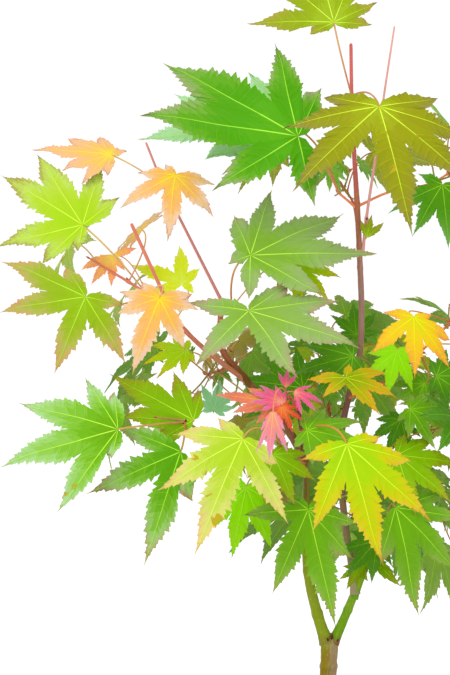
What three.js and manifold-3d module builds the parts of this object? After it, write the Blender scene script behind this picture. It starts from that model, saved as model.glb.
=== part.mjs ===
// A young japanese maple grown as a bonsai, in a plain unglazed pot.
// Millimetres, +Z up, -Y towards the viewer of the photograph.
// The origin is the middle of the pot's flat underside.
import * as THREE from "three";
import { mergeVertices } from "three/addons/utils/BufferGeometryUtils.js";
import Module from "manifold-3d";

const wasm = await Module();
wasm.setup();

// Driving dimensions

const CLEARANCE = 0.3;

const POT_LENGTH = 190;
const POT_WIDTH = 140;
const POT_HEIGHT = 58;
const POT_CORNER = 26;
const POT_WALL = 7;
const POT_FLOOR = 9;
const POT_BATTER = 9;
const POT_BEND_HEIGHT = 20;
const POT_LIP = 3.5;
const POT_LIP_HEIGHT = 7;
const POT_ROUND = 1.5;
const POT_BODY_HEIGHTS = [14, 28, 40];
const CORNER_STEPS = 4;
const DRAIN_DIAMETER = 12;
const DRAIN_OFFSET = 45;

const SOIL_EDGE_HEIGHT = 49.5;
const SOIL_SEAT_HEIGHT = 52;
const SOIL_SEAT_RADIUS = 13;
const SOIL_SWELL = 1;
const SOIL_SWELL_LENGTH = 34;
const SOIL_SWELL_WIDTH = 28;
const SOIL_STEP = 17;
const SOIL_SHARES = [0.8, 0.6, 0.4, 0.2, 0];

const ROOT_FLARE = 2.1;
const ROOT_FLARE_HEIGHT = 13;
const ROOT_RIDGES = 5;
const ROOT_RIDGE_DEPTH = 0.22;
const ROOT_FADE = 1.6;
const TRUNK_STEP_GROWTH = 1.5;

const STALK_RADIUS = 0.62;
const STALK_STEPS = [0.3, 0.65, 1];
const STALK_BOW_BACK = 0.35;
const STALK_BOW_UNDER = 0.12;
const STEM_SIDES = 5;
const BLADE_THICKNESS = 0.026;
const HALF_BLADE = 0.58;
const EDGE_MARGIN = 0.05;
const FACE_MARGIN = 2;
const CROWN_MIDDLE = [-10, 5];
const HANG = 0.8;
const ATTEMPTS = 16;

// How the leaves of the opposite-pair rule vary, each between its two numbers.
const RULE = {
  firstPair: 0.7,
  pairTurn: 90,
  seedTurn: 23,
  bearingScatter: 80,
  lean: 0.6,
  rise: 0.3,
  reach: [0.75, 1.25],
  largest: 1.12,
  shrinking: 0.03,
  faceScatter: 0.9,
  pitch: [18, 52],
  droop: [0.15, 0.3],
};

// The photograph is taken from a little above.
const VIEW_ELEVATION = 5;
const VIEW_BACK = new THREE.Vector3(0, -1, 0).applyAxisAngle(
  new THREE.Vector3(1, 0, 0),
  -THREE.MathUtils.degToRad(VIEW_ELEVATION),
);
const VIEW_UP = new THREE.Vector3(0, 0, 1).applyAxisAngle(
  new THREE.Vector3(1, 0, 0),
  -THREE.MathUtils.degToRad(VIEW_ELEVATION),
);
const VIEW_RIGHT = new THREE.Vector3(1, 0, 0);

// A seven-lobed blade as most grow: for its middle lobe and the three on either side,
// the angle from the middle in degrees and the length as a share of the middle lobe.
const EVEN_LOBES = [[0, 1.0], [35, 0.92], [72, 0.64], [110, 0.38]];
const LOBE_HALF = 0.15;
const LOBE_SLIMNESS = 0.7;
const NOTCH_DEPTH = 0.8;
const NOTCH_NEAREST = 0.12;
const NOTCH_FURTHEST = 0.72;
const BLADE_HEEL = 0.05;
const HEEL_APART = 55;
const HEEL_SHARE = 0.45;
const HEEL_MARGIN = 15;
const SHOULDER_PAST_NOTCH = 1.1;
const SHOULDER_NEAREST_TIP = 0.9;
const SHOULDER_TURN = 0.95;
const LARGE_LOBE = 0.5;

// Limbs: the course of each from foot to tip, and its radius there.

const LIMBS = {
  trunk: {
    course: [[-3, 0, SOIL_SEAT_HEIGHT + CLEARANCE], [-2.2, 0, 66], [-0.8, 0, 82], [0, 0, 97], [0.4, 0, 109]],
    girth: [5.4, 5.0, 4.3, 4.1, 4.9],
    sides: 20,
    steps: 9,
  },
  stem_left: {
    course: [
      [-1, 0, 104], [-5, -1, 116], [-10.5, -3, 139], [-12, -4, 165], [-11.5, -4, 188], [-13, -5, 208],
      [-16, -8, 223],
    ],
    girth: [2.7, 2.6, 2.4, 2.1, 1.8, 1.6, 1.3],
    sides: 8,
    steps: 12,
  },
  stem_right: {
    course: [[2, 0, 104], [6.5, -0.3, 114], [13, -1, 130]],
    girth: [2.3, 2.2, 2.1],
    sides: 8,
    steps: 4,
  },
  leader: {
    course: [
      [13, -1, 129], [11.5, 0, 142], [8, 3, 165], [6, 4, 190], [6.5, 4, 212], [10, 4, 230], [15, 5, 250],
      [16, 5, 270], [15, 5, 298], [13.5, 4.5, 325], [12, 4, 348], [10.8, 4, 366],
    ],
    girth: [1.9, 1.8, 1.7, 1.65, 1.6, 1.6, 1.55, 1.5, 1.4, 1.45, 1.15, 0.98],
    sides: 7,
    steps: 24,
  },
  bough_left: {
    course: [[-12, -4, 197], [-20, -2, 211], [-42.5, 2, 238], [-54, 3, 253], [-54.5, 3, 277]],
    girth: [2.1, 2.05, 1.9, 1.6, 1.2],
    sides: 7,
    steps: 10,
  },
  bough_far_left: {
    course: [[-42, 2, 237], [-58, 0, 249], [-70, -3, 260], [-77, -4, 268]],
    girth: [1.35, 1.3, 1.2, 1.1],
    sides: 6,
    steps: 6,
  },
  bough_low_left: {
    course: [[-12, -4, 163], [-24, -10, 180], [-44, -18, 198], [-60, -26, 211]],
    girth: [1.6, 1.5, 1.3, 1.1],
    sides: 6,
    steps: 7,
  },
  bough_right: {
    course: [[12.5, -1, 127], [18.5, -2, 142.5], [29, -3, 165], [40, -1, 192]],
    girth: [1.5, 1.35, 1.3, 1.1],
    sides: 6,
    steps: 8,
  },
  bough_back: {
    course: [[6, 4, 180], [5, 16, 196], [2, 34, 212]],
    girth: [1.4, 1.3, 1.1],
    sides: 6,
    steps: 5,
  },
  bough_low_back: {
    course: [[12, 0, 137], [14, 12, 148], [18, 30, 157]],
    girth: [1.4, 1.3, 1.1],
    sides: 6,
    steps: 5,
  },
};

// Foliage: each mass has one stem with its side twigs, the leaves that face the
// viewer, and pairs of leaves that the opposite-pair rule adds in the rest of its space.

const FOLIAGE = [
  {
    name: "foliage_top",
    stem: [[10.75, 4, 367], [10.5, 4, 379], [10, 3, 405]],
    girth: [0.97, 0.85],
    leaves: [
      fan(
        [1, -8, 415], [[19, -1], [22, 11], [12, 30], [-10, 43], [-34, 29], [-43, 0], [-12, -6]],
        { tilt: 35, droop: 0.12 },
      ),
      fan([22, -34, 374], [[-27, 4], [-48, -11], [-43, -43], [16, -66], [46, -40], [43, -14], [29, 4]]),
    ],
    pairs: { count: 3, reach: 30, span: 38, seed: 3, space: [[-8, 5, 318], [100, 90, 386]] },
  },
  {
    name: "foliage_upper_left",
    stem: [[11.2, 4, 325], [4, 2, 331]],
    girth: [0.9, 0.8],
    leaves: [
      fan(
        [-17, -26, 359], [[12, 25], [-11, 49], [-67, 39], [-78, 11], [-42, -27], [8, -35]],
        { tilt: 28, droop: 0.1 },
      ),
      fan([-19, 6, 363], [[-22, 30], [-60, 19], [-78, -5], [-44, -16]], { tilt: 35, droop: 0.1 }),
    ],
  },
  {
    name: "foliage_upper_right",
    stem: [[15.6, 4.6, 325], [29, 6, 331], [50, 14, 335], [64, 26, 342]],
    girth: [0.9, 0.75],
    leaves: [
      fan(
        [56, 4, 335], [[-12, 6], [-28, -15], [-16, -27], [2, -34], [24, -28], [28, -6]],
        { tilt: 35 },
      ),
    ],
    pairs: { count: 3, reach: 32, span: 40, seed: 5, space: [[40, -25, 290], [125, 90, 400]] },
  },
  {
    name: "foliage_upper_back",
    stem: [[13.2, 6.2, 318], [12, 22, 326], [6, 42, 336]],
    girth: [0.95, 0.75],
    leaves: [],
    pairs: { count: 4, reach: 32, span: 40, seed: 83, space: [[-78, 8, 325], [58, 110, 395]] },
  },
  {
    name: "foliage_side_shoot",
    stem: [[16.6, 4.4, 303], [18, 2, 318], [22, 2, 346], [26, 2, 376], [31.5, 2, 413.5]],
    girth: [0.8, 0.45],
    leaves: [fan([18, -3, 309], [[9, 8], [3, 12], [-3, 9]], { tilt: 15, droop: 0.1 })],
  },
  {
    name: "foliage_left_shoot",
    stem: [[-54.5, 3, 277.4], [-74.5, 4, 317], [-83, 5, 334], [-92, 6, 356]],
    girth: [0.85, 0.55],
    leaves: [
      fan(
        [-109, -8, 350], [[8, 2], [-6, 10], [-22, 9], [-40, 3], [-24, -8], [-14, -15], [-1, -11]],
        { tilt: 45, droop: 0.12 },
      ),
      fan(
        [-77, -16, 340], [[20, -4], [20, -22], [-4, -36], [-29, -17], [-19, 2], [-5, 6]],
        { tilt: 35, droop: 0.3 },
      ),
    ],
  },
  {
    name: "foliage_left_node",
    stem: [[-53.6, 1.6, 270], [-49, -4, 274]],
    girth: [0.9, 0.75],
    leaves: [
      fan(
        [-40, -22, 301], [[-11, -4], [-8, 21], [11, 34], [47, 22], [63, 1], [37, -20], [-1, -22]],
        { tilt: 38, droop: 0.1 },
      ),
      fan(
        [-41, -36, 275], [[-30, 4], [-26, -27], [24, -33], [55, -19], [45, 5], [20, 13]],
        { tilt: 38, droop: 0.12 },
      ),
      leaf([-19, 2, 296], 318, 28, { tilt: 35 }),
    ],
  },
  {
    name: "foliage_far_left",
    stem: [[-77.3, -4, 268.4], [-91.5, -6, 281], [-120, -8, 299]],
    girth: [1.0, 0.5],
    shoots: [{ course: [[-77.6, -4, 268.7], [-99, -6, 316]], girth: [0.95, 0.85] }],
    leaves: [
      fan(
        [-122, -26, 316], [[18, 14], [9, 32], [-24, 36], [-42, 26], [-43, -11], [-20, -19], [-2, -13]],
        { droop: 0.1 },
      ),
      fan(
        [-120, -40, 282], [[19, -4], [20, -33], [-15, -38], [-43, -8], [-43, 18], [-10, 15]],
        { droop: 0.15 },
      ),
      fan([-108, -4, 300], [[12, 4], [6, -8], [-1, -17], [-12, -16], [-18, -8]], { droop: 0.3 }),
      fan([-74, 14, 285], [[6, -5], [9, 8], [-2, 20], [-27, 10], [-16, -6]], { tilt: 35, droop: 0.15 }),
      fan(
        [-84, -48, 282], [[16, 2], [19, -6], [13, -27], [-14, -40], [-22, -8], [-20, 3], [-9, 8]],
        { droop: 0.3 },
      ),
    ],
    pairs: { count: 3, reach: 30, span: 34, seed: 8, space: [[-165, 2, 240], [-72, 75, 340]] },
  },
  {
    name: "foliage_low_left",
    stem: [[-60.6, -26.2, 211.5], [-72, -31, 220], [-86, -38, 223]],
    girth: [1.0, 0.8],
    leaves: [
      fan(
        [-104, -52, 219], [[-2, 18], [-17, 25], [-50, 13], [-58, -19], [-30, -41], [-3, -14]],
        { droop: 0.15 },
      ),
      fan([-68, -32, 221], [[4, 14], [-10, 24], [-42, 23], [-36, 1], [-20, -12]], { tilt: 10, droop: 0.1 }),
      fan([-74, -45, 207], [[-31, 13], [-47, -21], [-18, -56], [6, -24]], { tilt: 20, droop: 0.15 }),
    ],
    pairs: { count: 3, reach: 36, span: 42, seed: 21, space: [[-150, -25, 160], [-40, 80, 248]] },
  },
  {
    name: "foliage_front_left",
    stem: [[-13.5, -7, 197], [-22, -26, 206], [-27, -42, 211]],
    girth: [0.95, 0.75],
    leaves: [
      fan([-44, -66, 216], [[-12, 10], [-34, 2], [-42, -25], [-24, -57], [22, -41], [17, -12]]),
      leaf([-42, -20, 186], 258, 37, { tilt: 25 }),
      leaf([-29, -40, 205], 296, 28, { tilt: 30 }),
    ],
  },
  {
    name: "foliage_pink",
    stem: [[-16.3, -8.3, 223.5], [-20, -26, 231], [-23, -42, 234]],
    girth: [0.95, 0.7],
    leaves: [
      fan([-30, -82, 231], [[-6, -10], [-10, -23], [-2, -28], [8, -23], [6, -9]], { tilt: 15, droop: 0.5 }),
      fan([-28, -40, 231], [[-14, 7], [-33, 3], [-22, -6], [-10, -12]], { tilt: 15, droop: 0.3 }),
      leaf([-24, -46, 231], 157, 20, { tilt: 40, spread: 0.6 }),
      fan([-23, -40, 238], [[6, 7], [1, 10], [-4, 8]], { tilt: 20 }),
      fan([-19, -50, 237], [[9, 3], [17, -7], [13, -13], [4, -14]], { tilt: 30, droop: 0.5 }),
      leaf([-25, -48, 229], 298, 15, { tilt: 20, droop: 0.4 }),
    ],
  },
  {
    name: "foliage_front",
    stem: [[-12.5, -7, 212], [-15, -34, 216], [-16, -48, 218]],
    girth: [0.95, 0.75],
    leaves: [
      fan([5, -78, 215], [[16, 4], [32, -8], [40, -37], [17, -58], [-17, -42], [-22, -7]], { droop: 0.15 }),
      leaf([-13, -50, 218], 352, 34, { tilt: 50 }),
    ],
  },
  {
    name: "foliage_low_front",
    stem: [[-12.3, -6.5, 173], [-15, -24, 179]],
    girth: [0.9, 0.75],
    leaves: [
      fan(
        [-12, -40, 178], [[19, 7], [25, -7], [22, -24], [13, -57], [-18, -41], [-33, -3], [-11, 8]],
        { droop: 0.12 },
      ),
    ],
  },
  {
    name: "foliage_low_right",
    stem: [[25, -5, 156], [27, -14, 164], [28, -22, 170]],
    girth: [0.9, 0.75],
    leaves: [
      fan([31, -34, 178], [[28, 8], [35, -6], [33, -33], [12, -56], [-8, -28]], { droop: 0.25 }),
      fan([18, -8, 151], [[-9, -17], [18, -17], [12, 1]], { tilt: 35 }),
      leaf([15, -10, 145], 236, 14, { tilt: 30, spread: 0.8 }),
      leaf([23, -18, 159], 224, 24, { tilt: 30 }),
    ],
  },
  {
    name: "foliage_right",
    stem: [[40.2, -0.8, 192.5], [50, 2, 212], [66, 4, 226], [82, 5, 234]],
    girth: [1.05, 0.75],
    leaves: [
      leaf([39, -20, 225], 340, 26, { tilt: 40 }),
      leaf([36, 4, 217], 245, 22, { tilt: 30 }),
      leaf([32, -28, 203], 325, 36, { tilt: 35 }),
    ],
    pairs: { count: 5, reach: 34, span: 42, seed: 31, space: [[28, -62, 175], [140, 90, 285]] },
  },
  {
    name: "foliage_mid_right",
    stem: [[11.5, 2.4, 229], [28.5, -2, 236.5], [45, -4, 252], [60, -5, 267], [74, -6, 281]],
    girth: [1.1, 0.8],
    leaves: [
      fan(
        [39, -38, 272], [[9, 1], [19, -12], [19, -28], [0, -34], [-23, -20], [-15, 3]],
        { tilt: 35, droop: 0.35 },
      ),
      fan(
        [6, -44, 243], [[2, 7], [21, 3], [27, -11], [17, -20], [-12, -10], [-20, -1]],
        { tilt: 40, droop: 0.3 },
      ),
      leaf([53, -6, 240], 0, 28, { tilt: 30 }),
      leaf([33, -8, 253], 255, 25, { tilt: 30 }),
      leaf([47, -6, 236], 205, 20, { tilt: 40 }),
      leaf([11, -8, 250], 190, 32, { tilt: 40 }),
    ],
    pairs: { count: 3, reach: 32, span: 38, seed: 92, space: [[52, -60, 205], [140, 65, 325]] },
  },
  {
    name: "foliage_heart",
    stem: [[12, 7.4, 241], [4, 12, 247]],
    girth: [0.9, 0.75],
    leaves: [
      leaf([14, 14, 259], 95, 20, { tilt: 30, droop: 0.1, spread: 1.2 }),
      leaf([-13, 12, 232], 172, 36, { tilt: 10, droop: 0.1 }),
    ],
  },
  {
    name: "foliage_back_left",
    stem: [[-47.6, 4.9, 245], [-55, 20, 240], [-63, 42, 236]],
    girth: [1.0, 0.75],
    leaves: [
      leaf([-58, 12, 221], 78, 18, { tilt: 25, droop: 0.1 }),
      leaf([-72, 12, 251], 188, 24, { tilt: 50 }),
    ],
    pairs: { count: 5, reach: 32, span: 40, seed: 41, space: [[-125, 0, 178], [-12, 115, 275]] },
  },
  {
    name: "foliage_back",
    stem: [[1.9, 34.7, 212.6], [0, 48, 228], [-1, 62, 246]],
    girth: [1.05, 0.75],
    leaves: [],
    pairs: { count: 6, reach: 36, span: 44, seed: 52, space: [[-55, 8, 185], [75, 130, 300]] },
  },
  {
    name: "foliage_low_back",
    stem: [[18.2, 30.7, 157.3], [20, 44, 166], [22, 58, 178]],
    girth: [1.05, 0.75],
    leaves: [],
    pairs: { count: 5, reach: 34, span: 42, seed: 61, space: [[-55, 0, 108], [80, 115, 205]] },
  },
  {
    name: "foliage_low_far_right",
    stem: [[30.8, -2.2, 163], [48, 4, 165], [66, 8, 170]],
    girth: [0.95, 0.75],
    leaves: [],
    pairs: { count: 5, reach: 32, span: 42, seed: 71, space: [[32, -72, 108], [135, 85, 205]] },
  },
];

function facing(tilt, turn) {
  const yaw = THREE.MathUtils.degToRad(turn);
  const pitch = THREE.MathUtils.degToRad(tilt);
  const level = Math.cos(pitch);
  return new THREE.Vector3(Math.sin(yaw) * level, -Math.cos(yaw) * level, Math.sin(pitch));
}

// The way in a leaf's plane that shows in the picture as so far to the right and so far up.
function shownAs(normal, right, up) {
  const way = VIEW_RIGHT.clone().multiplyScalar(right).addScaledVector(VIEW_UP, up);
  return way.addScaledVector(VIEW_BACK, -way.dot(normal) / VIEW_BACK.dot(normal));
}

// The same for the tip of a lobe, which the bend of the blade then brings down to there.
function tipShownAs(normal, right, up, droop, span) {
  const flat = shownAs(normal, right, up).length();
  const drop = normal.clone().multiplyScalar((droop * flat ** 2) / span);
  return shownAs(normal, right + drop.dot(VIEW_RIGHT), up + drop.dot(VIEW_UP));
}

function evenLobes(spread) {
  const lobes = [];
  for (let order = -3; order <= 3; order += 1) {
    const [angle, length] = EVEN_LOBES[Math.abs(order)];
    lobes.push({ angle: Math.sign(order) * angle * spread, length });
  }
  return lobes;
}

// A leaf that faces the viewer and has even lobes: where its blade joins its stalk, which
// way its middle lobe points in the picture, the lobe's length, and how the blade is held.
function leaf(at, aim, span, { tilt = 25, turn = 0, droop = 0.2, spread = 1 } = {}) {
  const normal = facing(tilt, turn);
  const across = THREE.MathUtils.degToRad(aim);
  const heading = shownAs(normal, Math.cos(across), Math.sin(across)).normalize();
  return { at: new THREE.Vector3(...at), heading, normal, span, droop, lobes: evenLobes(spread) };
}

// How far round it is from one angle to another by the shorter way, in degrees.
function turnBetween(from, to) {
  return THREE.MathUtils.euclideanModulo(to - from + 180, 360) - 180;
}

// A leaf that faces the viewer, by the tips of its lobes as they show in the picture, in
// order round it: how far each lies to the right of and above the joint of blade and stalk.
function fan(at, tips, { tilt = 25, turn = 0, droop = 0.2 } = {}) {
  const normal = facing(tilt, turn);
  const longest = Math.max(...tips.map(([right, up]) => shownAs(normal, right, up).length()));
  const reaches = tips.map(([right, up]) => tipShownAs(normal, right, up, droop, longest));
  const middle = reaches.reduce((best, reach) => (reach.length() > best.length() ? reach : best));
  const span = middle.length();
  const heading = middle.clone().divideScalar(span);
  const side = new THREE.Vector3().crossVectors(normal, heading);
  const lobes = [];
  for (const reach of reaches) {
    const turn = THREE.MathUtils.radToDeg(Math.atan2(reach.dot(side), reach.dot(heading)));
    const last = lobes.length > 0 ? lobes.at(-1).angle : turn;
    lobes.push({ angle: last + turnBetween(last, turn), length: reach.length() / span });
  }
  const middleAngle = lobes[reaches.indexOf(middle)].angle;
  for (const lobe of lobes) lobe.angle -= middleAngle;
  lobes.sort((one, other) => one.angle - other.angle);
  return { at: new THREE.Vector3(...at), heading, normal, span, droop, lobes };
}

// A number from 0 to 1 that is always the same for the same key.
function chance(key) {
  const wave = Math.sin(key * 12.9898) * 43758.5453;
  return wave - Math.floor(wave);
}

function points(list) {
  return list.map((place) => new THREE.Vector3(...place));
}

function smoothCourse(list) {
  return new THREE.CatmullRomCurve3(points(list), false, "centripetal");
}

function valueAlong(values, share) {
  const place = Math.min(share, 1) * (values.length - 1);
  const first = Math.min(Math.floor(place), values.length - 2);
  return THREE.MathUtils.lerp(values[first], values[first + 1], place - first);
}

function closedGeometry(corners, faces) {
  const geometry = new THREE.BufferGeometry();
  const numbers = corners.flatMap((place) => [place.x, place.y, place.z]);
  geometry.setAttribute("position", new THREE.Float32BufferAttribute(numbers, 3));
  geometry.setIndex(faces.flat());
  return geometry;
}

// A closed skin over rings of equal count, each running the same way round,
// with both end rings filled from their middles.
function skinRings(rings) {
  const count = rings[0].length;
  const corners = rings.flat();
  const faces = [];
  for (let ring = 0; ring < rings.length - 1; ring += 1) {
    for (let i = 0; i < count; i += 1) {
      const a = ring * count + i;
      const b = ring * count + (i + 1) % count;
      faces.push([a, b, b + count], [a, b + count, a + count]);
    }
  }
  for (const [ring, turned] of [[0, true], [rings.length - 1, false]]) {
    const middle = corners.length;
    const sum = rings[ring].reduce((total, place) => total.add(place), new THREE.Vector3());
    corners.push(sum.divideScalar(count));
    for (let i = 0; i < count; i += 1) {
      const a = ring * count + i;
      const b = ring * count + (i + 1) % count;
      faces.push(turned ? [middle, b, a] : [middle, a, b]);
    }
  }
  return closedGeometry(corners, faces);
}

// A round limb swept along a curve, its section carried along without twist.
function sweptLimb(curve, radiusAt, steps, sides, growth = 0) {
  const frames = curve.computeFrenetFrames(steps, false);
  const rings = [];
  for (let step = 0; step <= steps; step += 1) {
    const share = step / steps;
    const middle = curve.getPointAt(share);
    if (step === 0) middle.addScaledVector(frames.tangents[0], -growth);
    if (step === steps) middle.addScaledVector(frames.tangents[steps], growth);
    const ring = [];
    for (let side = 0; side < sides; side += 1) {
      const angle = (side / sides) * Math.PI * 2;
      const radius = radiusAt(share, angle) + growth;
      ring.push(
        middle
          .clone()
          .addScaledVector(frames.normals[step], Math.cos(angle) * radius)
          .addScaledVector(frames.binormals[step], Math.sin(angle) * radius),
      );
    }
    rings.push(ring);
  }
  return skinRings(rings);
}

// The trunk's foot is cut flat at the soil and swells into root ridges there.
function trunkLimb(limb, growth = 0) {
  const curve = smoothCourse(limb.course);
  const foot = limb.course[0][2];
  const rings = [];
  for (let step = 0; step <= limb.steps; step += 1) {
    const share = (step / limb.steps) ** TRUNK_STEP_GROWTH;
    const middle = curve.getPointAt(share);
    const rise = middle.z - foot;
    const swell = Math.exp((-rise / ROOT_FLARE_HEIGHT) * ROOT_FADE);
    if (step === 0) middle.z -= growth;
    if (step === limb.steps) middle.z += growth;
    const ring = [];
    for (let side = 0; side < limb.sides; side += 1) {
      const angle = (side / limb.sides) * Math.PI * 2;
      const ridge = 1 + ROOT_RIDGE_DEPTH * swell * Math.cos(ROOT_RIDGES * angle);
      const radius = valueAlong(limb.girth, share) * (1 + (ROOT_FLARE - 1) * swell) * ridge + growth;
      const [right, far] = [radius * Math.cos(angle), radius * Math.sin(angle)];
      ring.push(new THREE.Vector3(middle.x + right, middle.y + far, middle.z));
    }
    rings.push(ring);
  }
  return skinRings(rings);
}

function limbGeometry(name, growth = 0) {
  const limb = LIMBS[name];
  if (name === "trunk") return trunkLimb(limb, growth);
  const curve = smoothCourse(limb.course);
  return sweptLimb(curve, (share) => valueAlong(limb.girth, share), limb.steps, limb.sides, growth);
}

function toSolid(geometry) {
  const bare = geometry.clone();
  bare.deleteAttribute("normal");
  bare.deleteAttribute("uv");
  const merged = mergeVertices(bare, 1e-5);
  return new wasm.Manifold(
    new wasm.Mesh({
      numProp: 3,
      vertProperties: new Float32Array(merged.attributes.position.array),
      triVerts: new Uint32Array(merged.index.array),
    }),
  );
}

function toGeometry(solid) {
  const mesh = solid.getMesh();
  const geometry = new THREE.BufferGeometry();
  geometry.setAttribute("position", new THREE.Float32BufferAttribute(Array.from(mesh.vertProperties), 3));
  geometry.setIndex(Array.from(mesh.triVerts));
  return geometry;
}

function largestPiece(solid) {
  return solid.decompose().reduce((best, piece) => (piece.volume() > best.volume() ? piece : best));
}

function lobeHalf(lobe) {
  return LOBE_HALF * lobe.length ** LOBE_SLIMNESS;
}

// The notches beside a blade's lobes, heels included: closer lobes part further out.
function bladeNotches(lobes) {
  const [first, last] = [lobes[0], lobes.at(-1)];
  const heel = Math.min(HEEL_APART, (360 - last.angle + first.angle) * HEEL_SHARE);
  const notches = [{ angle: first.angle - heel, radius: BLADE_HEEL }];
  for (let k = 1; k < lobes.length; k += 1) {
    const pair = [lobes[k - 1], lobes[k]];
    const apart = THREE.MathUtils.degToRad(pair[1].angle - pair[0].angle);
    const parting = (NOTCH_DEPTH * (lobeHalf(pair[0]) + lobeHalf(pair[1]))) / 2 / Math.sin(apart / 2);
    const furthest = NOTCH_FURTHEST * Math.min(pair[0].length, pair[1].length);
    const radius = Math.min(Math.max(parting, NOTCH_NEAREST), furthest);
    notches.push({ angle: (pair[0].angle + pair[1].angle) / 2, radius });
  }
  notches.push({ angle: last.angle + heel, radius: BLADE_HEEL });
  return notches;
}

// The widest place of a lobe on the side of one of its notches.
function lobeShoulder(lobe, notch) {
  const apart = THREE.MathUtils.degToRad(Math.abs(notch.angle - lobe.angle));
  const past = notch.radius * Math.cos(apart) * SHOULDER_PAST_NOTCH;
  const along = Math.min(Math.max(HALF_BLADE * lobe.length, past), SHOULDER_NEAREST_TIP * lobe.length);
  const aside = Math.min(lobeHalf(lobe), along * Math.tan(Math.min(apart, 1)) * SHOULDER_TURN);
  const turn = THREE.MathUtils.radToDeg(Math.atan2(aside, along)) * Math.sign(notch.angle - lobe.angle);
  return { angle: lobe.angle + turn, radius: Math.hypot(along, aside) };
}

// The outline of a blade as polar points, lobe by lobe from one heel to the other.
function bladeOutline({ lobes }) {
  const notches = bladeNotches(lobes);
  const outline = [notches[0]];
  lobes.forEach((lobe, k) => {
    const tip = { angle: lobe.angle, radius: lobe.length };
    outline.push(lobeShoulder(lobe, notches[k]), tip, lobeShoulder(lobe, notches[k + 1]), notches[k + 1]);
  });
  return outline.map(({ angle, radius }) => ({ angle: THREE.MathUtils.degToRad(angle), radius }));
}

// A point of a blade in space: the blade bends down evenly from its joint outwards.
function onBlade(blade, radius, angle, lift = 0) {
  const side = new THREE.Vector3().crossVectors(blade.normal, blade.heading);
  const bend = (2 * blade.droop) / blade.span;
  const reach = radius * blade.span;
  return blade.at
    .clone()
    .addScaledVector(blade.heading, (Math.sin(bend * reach) / bend) * Math.cos(angle))
    .addScaledVector(side, (Math.sin(bend * reach) / bend) * Math.sin(angle))
    .addScaledVector(blade.normal, lift - (1 - Math.cos(bend * reach)) / bend);
}

// A leaf stalk leaves its node and comes into the blade along the middle lobe.
function stalkCurve(blade) {
  const length = blade.at.distanceTo(blade.node);
  const bow = blade.at
    .clone()
    .addScaledVector(blade.heading, -STALK_BOW_BACK * length)
    .addScaledVector(blade.normal, -STALK_BOW_UNDER * length);
  return new THREE.QuadraticBezierCurve3(blade.node, bow, blade.at);
}

// One skin for a leaf: a blade that is sharp at its edge and thickest along the ribs of
// its lobes, and a four-sided stalk that opens out of the blade's heel.
function leafGeometry(blade) {
  const outline = bladeOutline(blade);
  const corners = outline.map((p) => onBlade(blade, p.radius, p.angle));
  const half = (BLADE_THICKNESS * blade.span) / 2;
  const faces = [];
  const middles = [1, -1].map((face) => {
    const add = (a, b, c) => faces.push(face > 0 ? [a, b, c] : [a, c, b]);
    const middle = corners.length;
    corners.push(onBlade(blade, 0, 0, face * half));
    blade.lobes.forEach((lobe, order) => {
      const [before, left, tip, right, after] = [0, 1, 2, 3, 4].map((k) => order * 4 + k);
      const rib = corners.length;
      corners.push(onBlade(blade, lobe.length * HALF_BLADE, outline[tip].angle, face * half));
      add(middle, before, rib);
      add(before, left, rib);
      add(left, tip, rib);
      add(tip, right, rib);
      add(right, after, rib);
      add(after, middle, rib);
    });
    return middle;
  });
  addStalk(blade, corners, faces, [middles[0], 0, middles[1], outline.length - 1]);
  return closedGeometry(corners, faces);
}

function addStalk(blade, corners, faces, heel) {
  const curve = stalkCurve(blade);
  let side = new THREE.Vector3().crossVectors(blade.normal, blade.heading);
  let ring = heel;
  for (const share of STALK_STEPS) {
    const middle = curve.getPoint(1 - share);
    const inwards = curve.getTangent(1 - share).negate();
    side = side.clone().addScaledVector(inwards, -side.dot(inwards)).normalize();
    const up = new THREE.Vector3().crossVectors(side, inwards);
    const next = [up, side, up, side].map((way, k) => {
      corners.push(middle.clone().addScaledVector(way, (k === 0 || k === 3 ? 1 : -1) * STALK_RADIUS));
      return corners.length - 1;
    });
    for (let k = 0; k < 4; k += 1) {
      const j = (k + 1) % 4;
      faces.push([ring[j], ring[k], next[k]], [ring[j], next[k], next[j]]);
    }
    ring = next;
  }
  faces.push([ring[0], ring[3], ring[2]], [ring[0], ring[2], ring[1]]);
}

function nearestNode(mass, place) {
  const nodes = points(mass.stem);
  if (nodes.length > 2) nodes.pop();
  if (nodes.length > 2) nodes.shift();
  return nodes.reduce((best, node) => (node.distanceTo(place) < best.distanceTo(place) ? node : best));
}

// A leaf that the rule adds: its face turned away from the middle of the crown and a
// little upwards, its middle lobe carrying on from the stalk and then hanging.
function hangingLeaf(node, stalk, reach, span, key) {
  const at = node.clone().addScaledVector(stalk, reach);
  const outwards = Math.atan2(at.x - CROWN_MIDDLE[0], CROWN_MIDDLE[1] - at.y);
  const turn = outwards + RULE.faceScatter * (chance(key) - 0.5);
  const pitch = THREE.MathUtils.lerp(...RULE.pitch, chance(key + 0.3));
  const normal = facing(pitch, THREE.MathUtils.radToDeg(turn));
  const across = new THREE.Vector3(Math.cos(turn), Math.sin(turn), 0);
  const heading = across.multiplyScalar(stalk.dot(across));
  heading.z = stalk.z - HANG;
  heading.addScaledVector(normal, -heading.dot(normal)).normalize();
  const droop = THREE.MathUtils.lerp(...RULE.droop, chance(key + 0.6));
  return { at, heading, normal, span, droop, lobes: evenLobes(1), node };
}

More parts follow.
